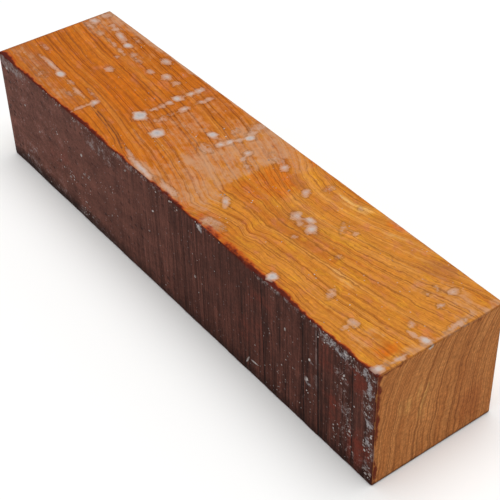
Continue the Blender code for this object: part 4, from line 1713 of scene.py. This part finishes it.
@dataclass
class WaxCrumbs:
    """Crumbs of wax that stuck to the billet, each a flattened lump half sunk in its face."""

    billet: Billet
    seed: int = 41
    sink: float = 0.12
    flatness: float = 0.3
    broadest: float = 1.6
    clump_spread: float = 1.8
    lump_sides: int = 8
    lump_rings: int = 5
    lump_roughness: float = 0.07 * MM

    def lump(self) -> bpy.types.Object:
        """Make the lump that every crumb is copied from, one millimetre across.

        Returns:
            The lump.
        """
        bpy.ops.object.select_all(action="DESELECT")
        bpy.ops.mesh.primitive_uv_sphere_add(
            segments=self.lump_sides,
            ring_count=self.lump_rings,
            radius=0.5 * MM,
        )
        piece = bpy.context.object
        piece.name = "wax_lump"
        bpy.ops.object.mode_set(mode="EDIT")
        bpy.ops.mesh.select_all(action="SELECT")
        bpy.ops.transform.vertex_random(offset=self.lump_roughness, seed=self.seed)
        bpy.ops.object.mode_set(mode="OBJECT")
        return piece

    def _on_face(self, side: Side, along: float, across: float) -> Matrix:
        """Find the place of a point on a face, with Z pointing out of it.

        Args:
            side: the face.
            along: the place along, in millimetres.
            across: the place across or down, in millimetres.

        Returns:
            The place and turn.
        """
        x = along * MM - self.billet.length / 2
        width = self.billet.width_at(x)
        height = self.billet.height_at(x)
        if side is Side.TOP:
            return Matrix.Translation((x, width / 2 - across / FACE_WIDTH * width, height))
        out = Matrix.Rotation(math.radians(90.0), 4, "X")
        return Matrix.Translation((x, -width / 2, height - across / FACE_DEPTH * height)) @ out

    def _copy(self, lump: bpy.types.Object, crumb: Crumb, tall: float, roll: float) -> bpy.types.Object:
        """Copy the lump as one crumb and set it on its face.

        Args:
            lump: the lump.
            crumb: the crumb's measures.
            tall: its height, in millimetres.
            roll: how far the lump is turned first, in radians.

        Returns:
            The crumb.
        """
        piece = lump.copy()
        piece.data = lump.data.copy()
        bpy.context.collection.objects.link(piece)
        low = -self.sink * MM * tall
        shape = Matrix.Diagonal((crumb.length, crumb.breadth, tall, 1.0))
        turned = Matrix.Rotation(math.radians(crumb.turn), 4, "Z") @ Matrix.Translation((0, 0, low))
        tumble = Matrix.Rotation(roll, 4, "Z")
        piece.data.transform(self._on_face(crumb.side, crumb.along, crumb.across) @ turned @ shape @ tumble)
        return piece

    def _strewn(self, area: Scatter, draw: random.Random) -> list:
        """Strew the crumbs of one area, half of them in clumps.

        Args:
            area: the area.
            draw: the seeded source of random numbers.

        Returns:
            The crumbs.
        """
        middles = []
        for _ in range(area.clumps):
            clump_along = draw.uniform(area.start, area.end)
            middles.append((clump_along, draw.uniform(area.low, area.high)))
        crumbs = []
        for number in range(area.count):
            size = area.least + (area.greatest - area.least) * draw.random() ** 2
            along = draw.uniform(area.start, area.end)
            across = draw.uniform(area.low, area.high)
            if middles and number % 2:
                middle = draw.choice(middles)
                along = min(max(draw.gauss(middle[0], self.clump_spread), area.start), area.end)
                across = min(max(draw.gauss(middle[1], self.clump_spread), area.low), area.high)
            breadth = size * draw.uniform(0.5, 1.0)
            crumbs.append(Crumb(area.side, along, across, size, breadth, draw.uniform(0, 180)))
        return crumbs

    def build(self) -> bpy.types.Object:
        """Strew the crumbs and join them.

        Returns:
            The joined crumbs.
        """
        draw = random.Random(self.seed)
        crumbs = list(CRUMBS)
        for area in SCATTERS:
            crumbs += self._strewn(area, draw)
        lump = self.lump()
        copies = []
        for crumb in crumbs:
            tall = min(crumb.breadth, self.broadest) * draw.uniform(0.5, 0.9) * self.flatness * 2.0
            copies.append(self._copy(lump, crumb, tall, draw.uniform(0, 2 * math.pi)))
        bpy.data.objects.remove(lump, do_unlink=True)
        bpy.ops.object.select_all(action="DESELECT")
        for piece in copies:
            piece.select_set(True)
        bpy.context.view_layer.objects.active = copies[0]
        bpy.ops.object.join()
        piece = copies[0]
        piece.name = "wax_crumbs"
        piece.data.name = "wax_crumbs"
        bpy.ops.object.shade_smooth()
        places = np.clip(vectors_of(piece.data.vertices, "co"), *CAD_BOX)
        piece.data.vertices.foreach_set("co", places.ravel())
        piece.data.update()
        piece.data.materials.append(DriedWax().material())
        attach(piece, BODY)
        return piece


class Lamp(NamedTuple):
    """A square soft light: its name, its place and size in metres, and its power in watts."""

    name: str
    place: tuple
    size: float
    power: float


LAMPS = (
    Lamp("overhead", (0.1, 0.1, 2.4), 2.0, 54.0),
    Lamp("front", (1.6, -1.1, 1.0), 1.2, 0.5),
)


@dataclass
class Studio:
    """The pale floor, the soft light, and the camera at the photograph's place."""

    floor_size: float = 8.0
    camera_place: tuple = (0.3999, -0.2680, 0.4122)
    camera_forward: tuple = (-0.6248, 0.4447, -0.6418)
    camera_up: tuple = (-0.5037, 0.3985, 0.7665)
    focal_pixels: float = 1261.4
    frame_pixels: float = 500.0
    sensor: float = 36.0
    sky: float = 0.4
    lamps: tuple = LAMPS
    aim: tuple = (0.0, 0.0, 0.03)
    floor_drop: float = 0.05 * MM
    near_clip: float = 0.01

    def floor(self) -> bpy.types.Object:
        """Lay a wide flat board just under the billet.

        Returns:
            The board.
        """
        bpy.ops.object.select_all(action="DESELECT")
        bpy.ops.mesh.primitive_plane_add(size=self.floor_size, location=(0.0, 0.0, -self.floor_drop))
        board = bpy.context.object
        board.name = "floor"
        board.data.materials.append(PaleFloor().material())
        return board

    def soft_light(self, lamp: Lamp) -> bpy.types.Object:
        """Hang a lamp and point it at the billet.

        Args:
            lamp: the lamp's measures.

        Returns:
            The light.
        """
        source = bpy.data.lights.new(lamp.name, "AREA")
        source.shape = "SQUARE"
        source.size = lamp.size
        source.energy = lamp.power
        light = bpy.data.objects.new(lamp.name, source)
        light.location = lamp.place
        aim = Vector(self.aim) - Vector(lamp.place)
        light.rotation_euler = aim.to_track_quat("-Z", "Y").to_euler()
        bpy.context.collection.objects.link(light)
        return light

    def camera(self) -> bpy.types.Object:
        """Place the camera, turned by its forward and up directions.

        Returns:
            The camera.
        """
        lens = bpy.data.cameras.new("camera")
        lens.sensor_width = self.sensor
        lens.lens = self.focal_pixels / self.frame_pixels * self.sensor
        lens.clip_start = self.near_clip
        view = bpy.data.objects.new("camera", lens)
        back = -Vector(self.camera_forward).normalized()
        right = Vector(self.camera_up).cross(back).normalized()
        up = back.cross(right)
        turn = Matrix((right, up, back)).transposed().to_4x4()
        view.matrix_world = Matrix.Translation(self.camera_place) @ turn
        bpy.context.collection.objects.link(view)
        bpy.context.scene.camera = view
        return view

    def build(self) -> None:
        """Set up the whole studio."""
        world = bpy.data.worlds.new("studio")
        world.use_nodes = True
        world.node_tree.nodes["Background"].inputs["Color"].default_value = (1.0, 1.0, 1.0, 1.0)
        world.node_tree.nodes["Background"].inputs["Strength"].default_value = self.sky
        bpy.context.scene.world = world
        bpy.context.scene.view_settings.view_transform = "Standard"
        self.floor()
        for lamp in self.lamps:
            self.soft_light(lamp)
        self.camera()


def main() -> None:
    """Build the billet, its wax and the studio."""
    logging.basicConfig(level=logging.INFO, format="%(message)s")
    for thing in [o for o in bpy.data.objects if o.name in ("Cube", "Light", "Camera")]:
        bpy.data.objects.remove(thing, do_unlink=True)
    billet = Billet()
    timber = billet.build()
    LOG.info("%s: %d points", timber.name, len(timber.data.vertices))
    crumbs = WaxCrumbs(billet).build()
    LOG.info("%s: %d points", crumbs.name, len(crumbs.data.vertices))
    Studio().build()


if __name__ == "__main__":
    main()
